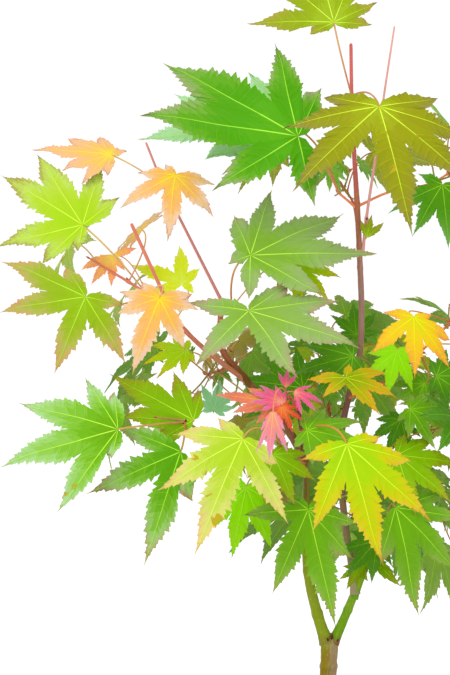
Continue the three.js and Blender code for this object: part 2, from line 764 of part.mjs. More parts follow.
// The opposite-pair rule: leaves stand in pairs along the stem, each pair turned a
// quarter round from the last, and each leaf takes the first of a few tries with room.
function growPairs(mass, limbPlaces) {
  const { count, reach, span, seed } = mass.pairs;
  const stem = smoothCourse(mass.stem);
  for (let pair = 0; pair < count; pair += 1) {
    const share = Math.min((pair + RULE.firstPair) / count, 1);
    const node = stem.getPointAt(share);
    const along = stem.getTangentAt(share);
    const first = new THREE.Vector3(0, 0, 1).cross(along).normalize();
    const second = new THREE.Vector3().crossVectors(along, first);
    for (let twin = 0; twin < 2; twin += 1) {
      for (let attempt = 0; attempt < ATTEMPTS; attempt += 1) {
        const key = seed * 17 + pair * 5 + twin * 2 + attempt * 0.37;
        const scatter = RULE.bearingScatter * (chance(key) - 0.5);
        const turned = RULE.pairTurn * pair + 180 * twin + seed * RULE.seedTurn + scatter;
        const bearing = THREE.MathUtils.degToRad(turned);
        const ahead = first.clone().multiplyScalar(Math.cos(bearing));
        const stalk = ahead.addScaledVector(second, Math.sin(bearing));
        stalk.addScaledVector(along, RULE.lean * chance(key + 0.2));
        stalk.z += RULE.rise;
        const size = span * (RULE.largest - RULE.shrinking * attempt);
        const length = reach * THREE.MathUtils.lerp(...RULE.reach, chance(key + 1));
        const blade = hangingLeaf(node, stalk.normalize(), length, size, key);
        if (!hasRoom(blade, mass, limbPlaces)) continue;
        mass.leaves.push(blade);
        break;
      }
    }
  }
}

// How high a place is over the bent face of a blade, or null where it is off to the side.
function heightOverBlade(blade, place) {
  const apart = new THREE.Vector3().subVectors(place, blade.at);
  const side = new THREE.Vector3().crossVectors(blade.normal, blade.heading);
  const ahead = apart.dot(blade.heading);
  const aside = apart.dot(side);
  const reach = Math.hypot(ahead, aside);
  const turn = THREE.MathUtils.radToDeg(Math.atan2(aside, ahead));
  if (reach > (bladeReach(blade.lobes, turn) + EDGE_MARGIN) * blade.span) return null;
  const bend = (2 * blade.droop) / blade.span;
  const drop = (1 - Math.sqrt(1 - Math.min(bend * reach, 0.99) ** 2)) / bend;
  return apart.dot(blade.normal) + drop;
}

// How far a blade reaches, as a share of its middle lobe, at an angle from that lobe.
function bladeReach(lobes, turn) {
  const [first, last] = [lobes[0], lobes.at(-1)];
  const heel = first.angle - HEEL_MARGIN;
  const angle = heel + THREE.MathUtils.euclideanModulo(turn - heel, 360);
  if (angle > last.angle + HEEL_MARGIN) return 0;
  const outer = lobes.findIndex((lobe) => lobe.angle > angle);
  if (outer < 0) return last.length;
  if (outer === 0) return first.length;
  const [near, far] = [lobes[outer - 1], lobes[outer]];
  return THREE.MathUtils.mapLinear(angle, near.angle, far.angle, near.length, far.length);
}

// Whether a line of places comes close to a blade's face or passes through it.
function crossesBlade(blade, places) {
  let last = null;
  return places.some((place) => {
    const height = heightOverBlade(blade, place);
    const near = height !== null && Math.abs(height) < FACE_MARGIN;
    const crossed = height !== null && last !== null && last * height < 0;
    last = height;
    return near || crossed;
  });
}

function insideSpace(place, [low, high]) {
  return ["x", "y", "z"].every((axis, k) => place[axis] >= low[k] && place[axis] <= high[k]);
}

// The middle line of each of the larger lobes, from the joint to the tip.
function bladeRibs(blade) {
  return blade.lobes
    .filter((lobe) => lobe.length > LARGE_LOBE)
    .map((lobe) => {
      const angle = THREE.MathUtils.degToRad(lobe.angle);
      return [0, 0.2, 0.4, 0.6, 0.8, 1].map((share) => onBlade(blade, lobe.length * share, angle));
    });
}

function stalkPlaces(blade) {
  return stalkCurve(blade).getSpacedPoints(10);
}

function coursePlaces(list) {
  const curve = smoothCourse(list);
  return curve.getSpacedPoints(Math.ceil(curve.getLength() / 3));
}

function bladesMeet(one, other) {
  const passes = (blade, ribs) => ribs.some((rib) => crossesBlade(blade, rib));
  return passes(other, bladeRibs(one)) || passes(one, bladeRibs(other));
}

// A leaf keeps to its mass's space, and clear of limbs and of every other leaf.
function hasRoom(blade, mass, limbPlaces) {
  if (!bladeRibs(blade).flat().every((place) => insideSpace(place, mass.pairs.space))) return false;
  if (limbPlaces.some((places) => crossesBlade(blade, places))) return false;
  return FOLIAGE.every((other) => {
    const own = other === mass;
    if (!own && crossesBlade(blade, coursePlaces(other.stem))) return false;
    return other.leaves.every((grown) => {
      if (bladesMeet(blade, grown)) return false;
      return own || !(crossesBlade(blade, stalkPlaces(grown)) || crossesBlade(grown, stalkPlaces(blade)));
    });
  });
}

function growFoliage() {
  const limbPlaces = Object.values(LIMBS).map((limb) => coursePlaces(limb.course));
  for (const mass of FOLIAGE) {
    for (const blade of mass.leaves) blade.node = nearestNode(mass, blade.at);
  }
  for (const mass of FOLIAGE.filter((each) => each.pairs)) growPairs(mass, limbPlaces);
}

function massSolid(mass, limbRoom) {
  const taper = (share) => valueAlong(mass.girth, share);
  const pieces = [toSolid(sweptLimb(smoothCourse(mass.stem), taper, mass.stem.length * 2 - 2, STEM_SIDES))];
  for (const shoot of mass.shoots ?? []) {
    const girth = (share) => valueAlong(shoot.girth, share);
    pieces.push(toSolid(sweptLimb(smoothCourse(shoot.course), girth, 2, STEM_SIDES)));
  }
  for (const blade of mass.leaves) pieces.push(toSolid(leafGeometry(blade)));
  const joined = pieces.reduce((whole, piece) => whole.add(piece));
  return largestPiece(joined.subtract(limbRoom).simplify(0.02));
}

// A ring of a rounded rectangle at one height.
function roundedRing(length, width, corner, height) {
  const ring = [];
  for (let quarter = 0; quarter < 4; quarter += 1) {
    const right = quarter === 0 || quarter === 3 ? 1 : -1;
    const far = quarter < 2 ? 1 : -1;
    for (let step = 0; step <= CORNER_STEPS; step += 1) {
      const angle = ((quarter + step / CORNER_STEPS) * Math.PI) / 2;
      ring.push(
        new THREE.Vector3(
          right * (length / 2 - corner) + corner * Math.cos(angle),
          far * (width / 2 - corner) + corner * Math.sin(angle),
          height,
        ),
      );
    }
  }
  return ring;
}

// One inset from the pot's widest outline at each height of its profile.
function potRing(inset, height) {
  return roundedRing(POT_LENGTH - 2 * inset, POT_WIDTH - 2 * inset, POT_CORNER - inset * 0.6, height);
}

function potInset(height) {
  return POT_LIP + POT_BATTER * (1 - height / (POT_HEIGHT - POT_LIP_HEIGHT)) ** 1.4;
}

function potSolid() {
  const under = POT_HEIGHT - POT_LIP_HEIGHT;
  const rings = [potRing(potInset(0) + POT_ROUND, 0), potRing(potInset(POT_ROUND), POT_ROUND)];
  for (const height of POT_BODY_HEIGHTS) rings.push(potRing(potInset(height), height));
  rings.push(potRing(POT_LIP, under - CLEARANCE), potRing(POT_ROUND / 2, under + POT_ROUND / 2));
  rings.push(potRing(0, under + POT_ROUND), potRing(0, POT_HEIGHT - POT_ROUND));
  rings.push(potRing(POT_ROUND, POT_HEIGHT), potRing(POT_LIP + POT_WALL - 1, POT_HEIGHT));
  rings.push(potRing(POT_LIP + POT_WALL, POT_HEIGHT - 1));
  rings.push(potRing(potInset(POT_BEND_HEIGHT) + POT_WALL, POT_BEND_HEIGHT));
  rings.push(potRing(potInset(POT_FLOOR) + POT_WALL, POT_FLOOR));
  let pot = toSolid(skinRings(rings));
  for (const side of [-1, 1]) {
    const drain = new THREE.CylinderGeometry(DRAIN_DIAMETER / 2, DRAIN_DIAMETER / 2, POT_FLOOR * 2, 20);
    drain.rotateX(Math.PI / 2);
    drain.translate(side * DRAIN_OFFSET, 0, POT_FLOOR / 2);
    pot = pot.subtract(toSolid(drain));
  }
  return pot;
}

// How far the pot's inner face stands in from its widest outline.
function potInnerInset(height) {
  const share = (height - POT_BEND_HEIGHT) / (POT_HEIGHT - 1 - POT_BEND_HEIGHT);
  return THREE.MathUtils.lerp(potInset(POT_BEND_HEIGHT), POT_LIP, share) + POT_WALL;
}

// The soil's ring at one height, its straight sides divided so that no step is long.
function soilRing(inset, height) {
  const ring = potRing(inset, height);
  return ring.flatMap((place, k) => {
    const next = ring[(k + 1) % ring.length];
    const straight = k % (CORNER_STEPS + 1) === CORNER_STEPS;
    const side = k % (2 * CORNER_STEPS + 2) === CORNER_STEPS ? POT_LENGTH : POT_WIDTH;
    const count = straight ? Math.round((side - 3 * POT_CORNER) / SOIL_STEP) : 1;
    return Array.from({ length: count }, (_, part) => place.clone().lerp(next, part / count));
  });
}

// How much the soil's surface swells or sinks, fading out to the pot's wall and to the seat.
function soilSwell(x, y, share) {
  const along = Math.sin((2 * Math.PI * x) / SOIL_SWELL_LENGTH);
  const across = Math.cos((2 * Math.PI * y) / SOIL_SWELL_WIDTH);
  return SOIL_SWELL * along * across * Math.sin(Math.PI * share);
}

// The soil fills the pot and rises unevenly to a flat seat under the trunk.
function soilGeometry() {
  const floor = POT_FLOOR + CLEARANCE;
  const edge = soilRing(potInnerInset(SOIL_EDGE_HEIGHT) + CLEARANCE, SOIL_EDGE_HEIGHT);
  const rings = [
    soilRing(potInset(POT_FLOOR) + POT_WALL + CLEARANCE, floor),
    soilRing(potInnerInset(POT_BEND_HEIGHT) + CLEARANCE, POT_BEND_HEIGHT),
    edge,
  ];
  for (const share of SOIL_SHARES) {
    rings.push(
      edge.map((place) => {
        const flat = new THREE.Vector2(place.x, place.y);
        flat.setLength(THREE.MathUtils.lerp(SOIL_SEAT_RADIUS, flat.length(), share));
        const height = THREE.MathUtils.lerp(SOIL_SEAT_HEIGHT, SOIL_EDGE_HEIGHT, share);
        return new THREE.Vector3(flat.x, flat.y, height + soilSwell(flat.x, flat.y, share));
      }),
    );
  }
  return skinRings(rings);
}

const CLAY = new THREE.MeshStandardMaterial({ color: 0x8a5a44, roughness: 0.75, metalness: 0 });
const SOIL = new THREE.MeshStandardMaterial({ color: 0x6b513c, roughness: 0.95, metalness: 0 });
const BARK = new THREE.MeshStandardMaterial({ color: 0x8a7a34, roughness: 0.7, metalness: 0 });
const GREEN_BARK = new THREE.MeshStandardMaterial({ color: 0x6fae3c, roughness: 0.55, metalness: 0 });
const RED_BARK = new THREE.MeshStandardMaterial({ color: 0x8e4a48, roughness: 0.5, metalness: 0 });
const FOLIAGE_TINTS = [0x55b313, 0x8cbf1e, 0xa8a81c, 0xf2a34c, 0xc9d63f].map(
  (color) => new THREE.MeshStandardMaterial({ color, roughness: 0.55, metalness: 0 }),
);
const LIMB_FINISH = { trunk: BARK, stem_left: BARK, stem_right: GREEN_BARK, bough_right: GREEN_BARK };

function named(name, geometry, material) {
  const mesh = new THREE.Mesh(geometry, material);
  mesh.name = name;
  return mesh;
}

// Every limb is cut clear of the limbs that it springs from.
function buildLimbs(plant) {
  let room = null;
  for (const name of Object.keys(LIMBS)) {
    const whole = toSolid(limbGeometry(name));
    const clear = room === null ? whole : largestPiece(whole.subtract(room));
    plant.add(named(name, toGeometry(clear), LIMB_FINISH[name] ?? RED_BARK));
    const grown = toSolid(limbGeometry(name, CLEARANCE));
    room = room === null ? grown : room.add(grown);
  }
  return room;
}

function buildPlant() {
  const plant = new THREE.Group();
  plant.add(named("pot", toGeometry(potSolid()), CLAY));
  plant.add(named("soil", soilGeometry(), SOIL));
  const limbRoom = buildLimbs(plant);
  growFoliage();
  FOLIAGE.forEach((mass, index) => {
    const tint = FOLIAGE_TINTS[index % FOLIAGE_TINTS.length];
    plant.add(named(mass.name, toGeometry(massSolid(mass, limbRoom)), tint));
  });
  return plant;
}

export default buildPlant();
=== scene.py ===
# A young japanese maple grown as a bonsai: a forked stem with green, orange and pink
# seven-lobed leaves, in an unglazed stoneware pot of fired-clay granules.
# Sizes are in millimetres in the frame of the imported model, and become metres in the meshes.
import math
from types import SimpleNamespace

import bmesh
import bpy
import numpy as np
from mathutils import Matrix, Vector


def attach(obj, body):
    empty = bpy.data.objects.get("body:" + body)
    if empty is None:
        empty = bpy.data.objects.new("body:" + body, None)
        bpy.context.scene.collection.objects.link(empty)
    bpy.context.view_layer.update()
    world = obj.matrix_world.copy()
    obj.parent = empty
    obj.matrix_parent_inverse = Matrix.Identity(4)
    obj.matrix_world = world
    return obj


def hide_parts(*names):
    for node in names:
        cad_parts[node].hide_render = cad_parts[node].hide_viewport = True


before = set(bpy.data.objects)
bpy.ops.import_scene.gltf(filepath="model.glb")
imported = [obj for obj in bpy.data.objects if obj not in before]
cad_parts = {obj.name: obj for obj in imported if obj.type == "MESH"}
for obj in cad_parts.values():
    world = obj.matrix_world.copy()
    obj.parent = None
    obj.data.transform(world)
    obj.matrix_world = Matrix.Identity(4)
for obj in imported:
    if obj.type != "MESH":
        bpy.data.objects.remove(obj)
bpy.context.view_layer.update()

MM = 0.001

# The photograph's view: half a millimetre to a pixel of its 450 x 675 at the plant.
VIEW_TARGET = (-52.5, 0.0, 258.75)
VIEW_DISTANCE = 1300.0
VIEW_ELEVATION = 5.0
VIEW_WIDTH = 225.0
SENSOR_WIDTH = 36.0
VIEW_RIGHT = np.array([1.0, 0.0, 0.0])
VIEW_BACK = np.array([0.0, -math.cos(math.radians(VIEW_ELEVATION)), math.sin(math.radians(VIEW_ELEVATION))])
VIEW_UP = np.array([0.0, math.sin(math.radians(VIEW_ELEVATION)), math.cos(math.radians(VIEW_ELEVATION))])

# Chance is read off a steep wave, so that every run deals out the same
CHANCE_PITCH = 12.9898
CHANCE_HEIGHT = 43758.5453

# How finely a course is walked, and how near to a place its direction is taken
COURSE_STEPS = 200
COURSE_NUDGE = 1e-4

# Pot, as in the model
POT_LENGTH = 190.0
POT_WIDTH = 140.0
POT_HEIGHT = 58.0
POT_CORNER = 26.0
POT_WALL = 7.0
POT_FLOOR = 9.0
POT_BEND_HEIGHT = 20.0
POT_BATTER = 9.0
POT_BATTER_CURVE = 1.4
POT_CORNER_EASING = 0.6
POT_LIP = 3.5
POT_LIP_HEIGHT = 7.0
POT_ROUND = 1.5
POT_INNER_ROUND = 1.2
POT_INNER_TOP = 57.0
DRAIN_DIAMETER = 12.0
DRAIN_OFFSET = 45.0

# Soil, a clearance off the pot's wall and floor
CLEARANCE = 0.3
SOIL_EDGE_HEIGHT = 49.5
SOIL_SEAT_HEIGHT = 52.0
SOIL_SEAT_RADIUS = 13.0
SOIL_SWELL = 1.0
SOIL_SWELL_LENGTH = 34.0
SOIL_SWELL_WIDTH = 28.0
SOIL_GRAIN = 3.4
SOIL_GRAINS = 2600

# Foot of the trunk, which flares into ridges
ROOT_FLARE = 2.1
ROOT_FLARE_HEIGHT = 13.0
ROOT_RIDGES = 5
ROOT_RIDGE_DEPTH = 0.22

# A leaf: its thickness and half the width of its middle vein, in shares of its middle lobe, and
# how its stalk bows, in shares of the stalk's reach
BLADE_THICKNESS = 0.007
VEIN_HALF_WIDTH = 0.0046
STALK_BOW_BACK = 0.35
STALK_BOW_UNDER = 0.12

# Room kept round a blade: past its edge in shares of its middle lobe, off its face in millimetres
EDGE_MARGIN = 0.05
FACE_MARGIN = 2.0

# How closely the tests for room look: places along a rib, a stalk and a fine twig, the step along
# a stem, and the steepest bend of a blade that counts
RIB_PLACES = 6
STALK_PLACES = 10
TWIG_PLACES = 8
STEM_STEP = 3.0
STEEPEST_BEND = 0.99

# The opposite-pair rule: where its pairs stand, and how their stalks and leaves vary. A range is
# given by its two ends.
CROWN_MIDDLE = (-10.0, 5.0)
HANG = 0.8
ATTEMPTS = 16
FIRST_PAIR = 0.7
PAIR_TURN = 90.0
SEED_TURN = 23.0
BEARING_SCATTER = 80.0
STALK_LEAN = 0.6
STALK_RISE = 0.3
STALK_REACH = (0.75, 1.25)
LARGEST = 1.12
SHRINKING = 0.03
FACE_SCATTER = 0.9
FACE_PITCH = (18.0, 52.0)
LEAF_DROOP = (0.15, 0.3)

# The finer twigs that the rule adds here, and their young leaves
FINE_TWIG_LENGTH = (7.0, 15.0)
FINE_TWIG_SAG = 0.6
FINE_TWIG_GIRTH = [0.5, 0.4]
YOUNG_SPAN = (11.0, 18.0)
YOUNG_REACH = 8.0
YOUNG_STALK_LEAN = 0.6
FINE_TWIG_TINT = "#98843C"

# A seven-lobed blade as most grow: for its middle lobe and the three on either side,
# the angle from the middle in degrees and the length as a share of the middle lobe.
EVEN_LOBES = [(0.0, 1.0), (35.0, 0.92), (72.0, 0.64), (110.0, 0.38)]

# How wide lobes are, how deep the notches between them run, and how the heel closes
LOBE_HALF = 0.15
LOBE_SLIMNESS = 0.7
NOTCH_DEPTH = 0.8
NOTCH_NEAREST = 0.12
NOTCH_FURTHEST = 0.72
BLADE_HEEL = 0.05
HEEL_APART = 55.0
HEEL_SHARE = 0.45
HEEL_MARGIN = 15.0
SHOULDER_PAST_NOTCH = 1.1
SHOULDER_NEAREST_TIP = 0.9
SHOULDER_TURN = 0.95
LARGE_LOBE = 0.5

# Tints of a leaf from its heart to its tips, of its veins and of its stalk.
COATS = {
    "olive": (["#98B428", "#88A008", "#889818", "#9C9434", "#A08050"], "#CCF048", "#D08C70"),
    "bronze": (["#98A818", "#8C9008", "#888C10", "#888430", "#988858"], "#D4F440", "#C07048"),
    "vivid": (["#54A008", "#489800", "#489400", "#5C9C18", "#80A054", "#98986C"], "#A8E840", "#D08458"),
    "vivid_pale": (["#88C460", "#90C870", "#98CC84", "#A4D098", "#B0D8A8"], "#A8D468", "#D08458"),
    "green": (["#5C9C0C", "#509410", "#609C34", "#80AC6C"], "#B0E840", "#D08438"),
    "pale_orange": (["#DCC444", "#DCB058", "#DCAC74", "#D8AC8C", "#C88464"], "#E8DC20", "#D8B088"),
    "peach": (["#DCBC2C", "#DCA848", "#DCA460", "#D8B48C", "#D4B8A4", "#C87454"], "#ECE01C", "#D09070"),
    "lime": (["#98C40C", "#9CC414", "#A4C42C", "#ACC858", "#A0A048", "#A0844C"], "#D0EC48", "#D4A470"),
    "green_blush": (["#88B00C", "#84A808", "#8CA41C", "#A0A44C", "#B89858", "#C88868"], "#B8E440", "#D09868"),
    "salmon": (["#FCD060", "#FCB868", "#FCA478", "#F08C70"], "#FCE848", "#D08068"),
    "chartreuse": (["#D8F04C", "#DCEC20", "#E4F040", "#E8E860"], "#E8F460", "#D0B068"),
    "lime_gold": (["#9CC804", "#A0C808", "#B4C40C", "#D0A024"], "#C8E048", "#D09848"),
    # A leaf green at the heart and brown at the tips, its own tints; the pale grey-green tones before the
    # tips are a painted sheen, the white sky's reflection
    "sheen": (["#609800", "#64A408", "#7CB438", "#94C06C", "#A4C890", "#A89468"], "#BCF044", "#C88C58"),
    "moss": (["#84BC00", "#80B400", "#88B008", "#94A01C", "#A88838"], "#CCF040", "#C88048"),
    "fresh": (["#549C00", "#549800", "#68A420", "#90B868", "#98A068", "#A87C54"], "#ACE834", "#C08044"),
    "cream": (["#A0C818", "#A4C424", "#B4C848", "#C4C868", "#D4BC70", "#D8A878"], "#D4F458", "#D08858"),
    "bright": (["#88D400", "#8CD800", "#90D010", "#A0D030"], "#B8E840", "#D09458"),
    "pink": (["#DC9468", "#DC8080", "#DC8094", "#DC8CB0", "#D8A0C8"], "#ECBC70", "#D87858"),
    "coral": (["#E0A048", "#E08454", "#DC745C", "#DC8468", "#E0A490"], "#ECC450", "#D87858"),
    "magenta": (["#E08C6C", "#DC5874", "#D85484", "#D8749C", "#D8A0C4"], "#E8A888", "#D06860"),
    "ember": (["#E07838", "#D85430", "#D84C34", "#D87850"], "#E8B040", "#D05440"),
    "sage": (["#74A02C", "#7CA834", "#84A850", "#8CA860", "#90A068", "#AC8C5C"], "#BCF048", "#D08460"),
    "sage_blush": (["#7CA438", "#80A83C", "#84A850", "#90A864", "#A09470", "#B88C78"], "#BCF048", "#D08460"),
    "deep": (["#5C9C10", "#508C10", "#508820", "#6C9844"], "#A0E038", "#A87440"),
    "mint": (["#84C488", "#90CC98", "#A0D0AC"], "#B4E0B4", "#90B060"),
    "gold": (["#C4C808", "#D8BC10", "#DCB020", "#DC9C34", "#C87840"], "#E4EC08", "#D06C40"),
    "amber": (["#809400", "#94A000", "#B49C0C", "#CC9C20", "#D89C40"], "#D4EC10", "#C07038"),
    "sunset": (["#94C000", "#98C400", "#ACC000", "#C0B808", "#CCAC38", "#D48850"], "#D4F438", "#D07444"),
    "leaf": (["#6CAC08", "#68A40C", "#68A018", "#74A42C", "#88A448", "#9C8C4C"], "#B4EC3C", "#C08048"),
}


# Named sizes to shapes

def between(low_high, share):
    return low_high[0] + (low_high[1] - low_high[0]) * share


def facing(tilt, turn):
    """Where a leaf's upper face looks: tilt degrees up, turn degrees off the viewer."""
    yaw, pitch = math.radians(turn), math.radians(tilt)
    return np.array([math.sin(yaw) * math.cos(pitch), -math.cos(yaw) * math.cos(pitch), math.sin(pitch)])


def shown_as(normal, right, up):
    """The way in a leaf's plane that shows in the picture as so far to the right and so far up."""
    way = right * VIEW_RIGHT + up * VIEW_UP
    return way - (way @ normal) / (VIEW_BACK @ normal) * VIEW_BACK


def tip_shown_as(normal, right, up, droop, span):
    """The same for the tip of a lobe, which the bend of the blade then brings down to there."""
    flat = np.linalg.norm(shown_as(normal, right, up))
    drop = normal * droop * flat**2 / span
    return shown_as(normal, right + drop @ VIEW_RIGHT, up + drop @ VIEW_UP)


def even_lobes(spread):
    """The lobes of an even blade as angles and lengths, its angles spread by so much."""
    return [
        (math.copysign(EVEN_LOBES[abs(order)][0] * spread, order), EVEN_LOBES[abs(order)][1])
        for order in range(-3, 4)
    ]


def held_blade(at, heading, normal, span, coat, droop, lobes, loose, curl, slim=1.0, spots=(), node=None):
    """A leaf's blade by where its joint is and how it is held. loose is how freely chance moves
    its lobes, and curl how far their tips bend down."""
    return SimpleNamespace(
        at=np.array(at, float), heading=heading, normal=normal, span=span, coat=coat, droop=droop,
        lobes=lobes, loose=loose, curl=curl, slim=slim, spots=spots, node=node,
    )


def leaf(at, aim, span, coat, tilt=25, turn=0, droop=0.2, spread=1.0, slim=1.0):
    """A leaf that faces the viewer and has even lobes: its blade's joint, the way its middle
    lobe points in the picture, that lobe's length, its tints, and how the blade is held."""
    normal = facing(tilt, turn)
    heading = unit(shown_as(normal, math.cos(math.radians(aim)), math.sin(math.radians(aim))))
    return held_blade(
        at, heading, normal, span, coat, droop, even_lobes(spread), loose=0.5, curl=0.05, slim=slim,
    )


def turn_between(first, second):
    """How far round it is from one angle to another by the shorter way, in degrees."""
    return (second - first + 180) % 360 - 180


def fan(at, tips, coat, tilt=25, turn=0, droop=0.2, slim=1.0, spots=()):
    """A leaf that faces the viewer, by the tips of its lobes as they show in the picture, in
    order round it: how far each lies to the right of and above the joint of blade and stalk.
    The ochre spots where it has dried are given the same way, each with its radius."""
    normal = facing(tilt, turn)
    longest = max(np.linalg.norm(shown_as(normal, right, up)) for right, up in tips)
    reaches = [tip_shown_as(normal, right, up, droop, longest) for right, up in tips]
    lengths = [np.linalg.norm(reach) for reach in reaches]
    middle = int(np.argmax(lengths))
    span = lengths[middle]
    heading = reaches[middle] / span
    side = np.cross(normal, heading)
    angles = []
    for reach in reaches:
        turned = math.degrees(math.atan2(reach @ side, reach @ heading))
        last = angles[-1] if angles else turned
        angles.append(last + turn_between(last, turned))
    lobes = sorted((angle - angles[middle], length / span) for angle, length in zip(angles, lengths))
    marks = []
    for right, up, radius in spots:
        way = tip_shown_as(normal, right, up, droop, longest)
        marks.append((way @ heading / span, way @ side / span, radius / span))
    return held_blade(
        at, heading, normal, span, coat, droop, lobes, loose=0.0, curl=0.0, slim=slim, spots=marks,
    )


def unit(vector):
    return vector / np.linalg.norm(vector)


def chance(key):
    """A number from 0 to 1 that is always the same for the same key. The numbers that a key is
    made with only keep it apart from other keys."""
    wave = math.sin(key * CHANCE_PITCH) * CHANCE_HEIGHT
    return wave - math.floor(wave)


def chances(keys):
    """The same for an array of keys."""
    wave = np.sin(np.asarray(keys, float) * CHANCE_PITCH) * CHANCE_HEIGHT
    return wave - np.floor(wave)


def value_along(values, share):
    """The value at a share of the way along evenly spaced ones."""
    place = min(share, 1.0) * (len(values) - 1)
    first = min(int(place), len(values) - 2)
    return values[first] + (values[first + 1] - values[first]) * (place - first)


class Course:
    """A smooth curve through given places, walked evenly from one end to the other."""

    def __init__(self, places):
        self.places = np.array(places, float)
        self.shares = np.linspace(0.0, 1.0, COURSE_STEPS + 1)
        dense = np.array([self.point(t) for t in self.shares])
        steps = np.linalg.norm(np.diff(dense, axis=0), axis=1)
        self.walked = np.concatenate([[0.0], np.cumsum(steps)])
        self.length = self.walked[-1]

    def point(self, t):
        places = self.places
        last = len(places) - 1
        first = min(int(math.floor(t * last)), last - 1)
        weight = t * last - first
        p1, p2 = places[first], places[first + 1]
        p0 = places[first - 1] if first > 0 else 2 * places[0] - places[1]
        p3 = places[first + 2] if first + 2 <= last else 2 * places[last] - places[last - 1]
        d0, d1, d2 = (math.sqrt(np.linalg.norm(b - a)) for a, b in ((p0, p1), (p1, p2), (p2, p3)))
        m1 = ((p1 - p0) / d0 - (p2 - p0) / (d0 + d1) + (p2 - p1) / d1) * d1
        m2 = ((p2 - p1) / d1 - (p3 - p1) / (d1 + d2) + (p3 - p2) / d2) * d1
        c2 = -3 * p1 + 3 * p2 - 2 * m1 - m2
        c3 = 2 * p1 - 2 * p2 + m1 + m2
        return p1 + m1 * weight + c2 * weight**2 + c3 * weight**3

    def share_at(self, way):
        return float(np.interp(way * self.length, self.walked, self.shares))

    def at(self, way):
        return self.point(self.share_at(way))

    def direction(self, way):
        t = self.share_at(way)
        low, high = max(t - COURSE_NUDGE, 0.0), min(t + COURSE_NUDGE, 1.0)
        return unit(self.point(high) - self.point(low))

    def spaced(self, count):
        return np.array([self.at(k / count) for k in range(count + 1)])


class StalkCourse(Course):
    """A leaf stalk leaves its node and comes into the blade along the middle lobe."""

    def __init__(self, blade):
        length = np.linalg.norm(blade.at - blade.node)
        bow = blade.at - STALK_BOW_BACK * length * blade.heading - STALK_BOW_UNDER * length * blade.normal
        super().__init__([blade.node, bow, blade.at])

    def point(self, t):
        a, b, c = self.places
        return (1 - t) ** 2 * a + 2 * (1 - t) * t * b + t**2 * c


# The plan of the plant

# Each limb's course from its foot to its end, and its radii along it
LIMBS = {
    "trunk": (
        [[-3, 0, 52.3], [-2.2, 0, 66], [-0.8, 0, 82], [0, 0, 97], [0.4, 0, 109]],
        [5.4, 5.0, 4.3, 4.1, 4.9],
    ),
    "stem_left": (
        [
            [-1, 0, 104], [-5, -1, 116], [-10.5, -3, 139], [-12, -4, 165], [-11.5, -4, 188],
            [-13, -5, 208], [-16, -8, 223],
        ],
        [2.7, 2.6, 2.4, 2.1, 1.8, 1.6, 1.3],
    ),
    "stem_right": ([[2, 0, 104], [6.5, -0.3, 114], [13, -1, 130]], [2.3, 2.2, 2.1]),
    "leader": (
        [
            [13, -1, 129], [11.5, 0, 142], [8, 3, 165], [6, 4, 190], [6.5, 4, 212], [10, 4, 230],
            [15, 5, 250], [16, 5, 270], [15, 5, 298], [13.5, 4.5, 325], [12, 4, 348], [10.8, 4, 366],
        ],
        [1.9, 1.8, 1.7, 1.65, 1.6, 1.6, 1.55, 1.5, 1.4, 1.45, 1.15, 0.98],
    ),
    "bough_left": (
        [[-12, -4, 197], [-20, -2, 211], [-42.5, 2, 238], [-54, 3, 253], [-54.5, 3, 277]],
        [2.1, 2.05, 1.9, 1.6, 1.2],
    ),
    "bough_far_left": (
        [[-42, 2, 237], [-58, 0, 249], [-70, -3, 260], [-77, -4, 268]],
        [1.35, 1.3, 1.2, 1.1],
    ),
    "bough_low_left": (
        [[-12, -4, 163], [-24, -10, 180], [-44, -18, 198], [-60, -26, 211]],
        [1.6, 1.5, 1.3, 1.1],
    ),
    "bough_right": (
        [[12.5, -1, 127], [18.5, -2, 142.5], [29, -3, 165], [40, -1, 192]],
        [1.5, 1.35, 1.3, 1.1],
    ),
    "bough_back": ([[6, 4, 180], [5, 16, 196], [2, 34, 212]], [1.4, 1.3, 1.1]),
    "bough_low_back": ([[12, 0, 137], [14, 12, 148], [18, 30, 157]], [1.4, 1.3, 1.1]),
}


def mass(name, stem, girth, leaves, twig="#B85848", shoots=(), pairs=None, coats=("leaf",)):
    """A mass of foliage: its stem's course and radii, its leaves in view, the tint of its twigs,
    bare shoots beside the stem, the pairs that the rule adds, and what tints those take."""
    return SimpleNamespace(
        name=name, stem=stem, girth=girth, leaves=leaves, twig=twig, shoots=shoots, pairs=pairs,
        coats=coats, fine_twigs=[],
    )


def pairs(count, reach, span, seed, space):
    """How many pairs a mass gets, how long their stalks and middle lobes are, what their chances
    start from, and two corners of the space that keeps them."""
    return SimpleNamespace(count=count, reach=reach, span=span, seed=seed, space=np.array(space, float))


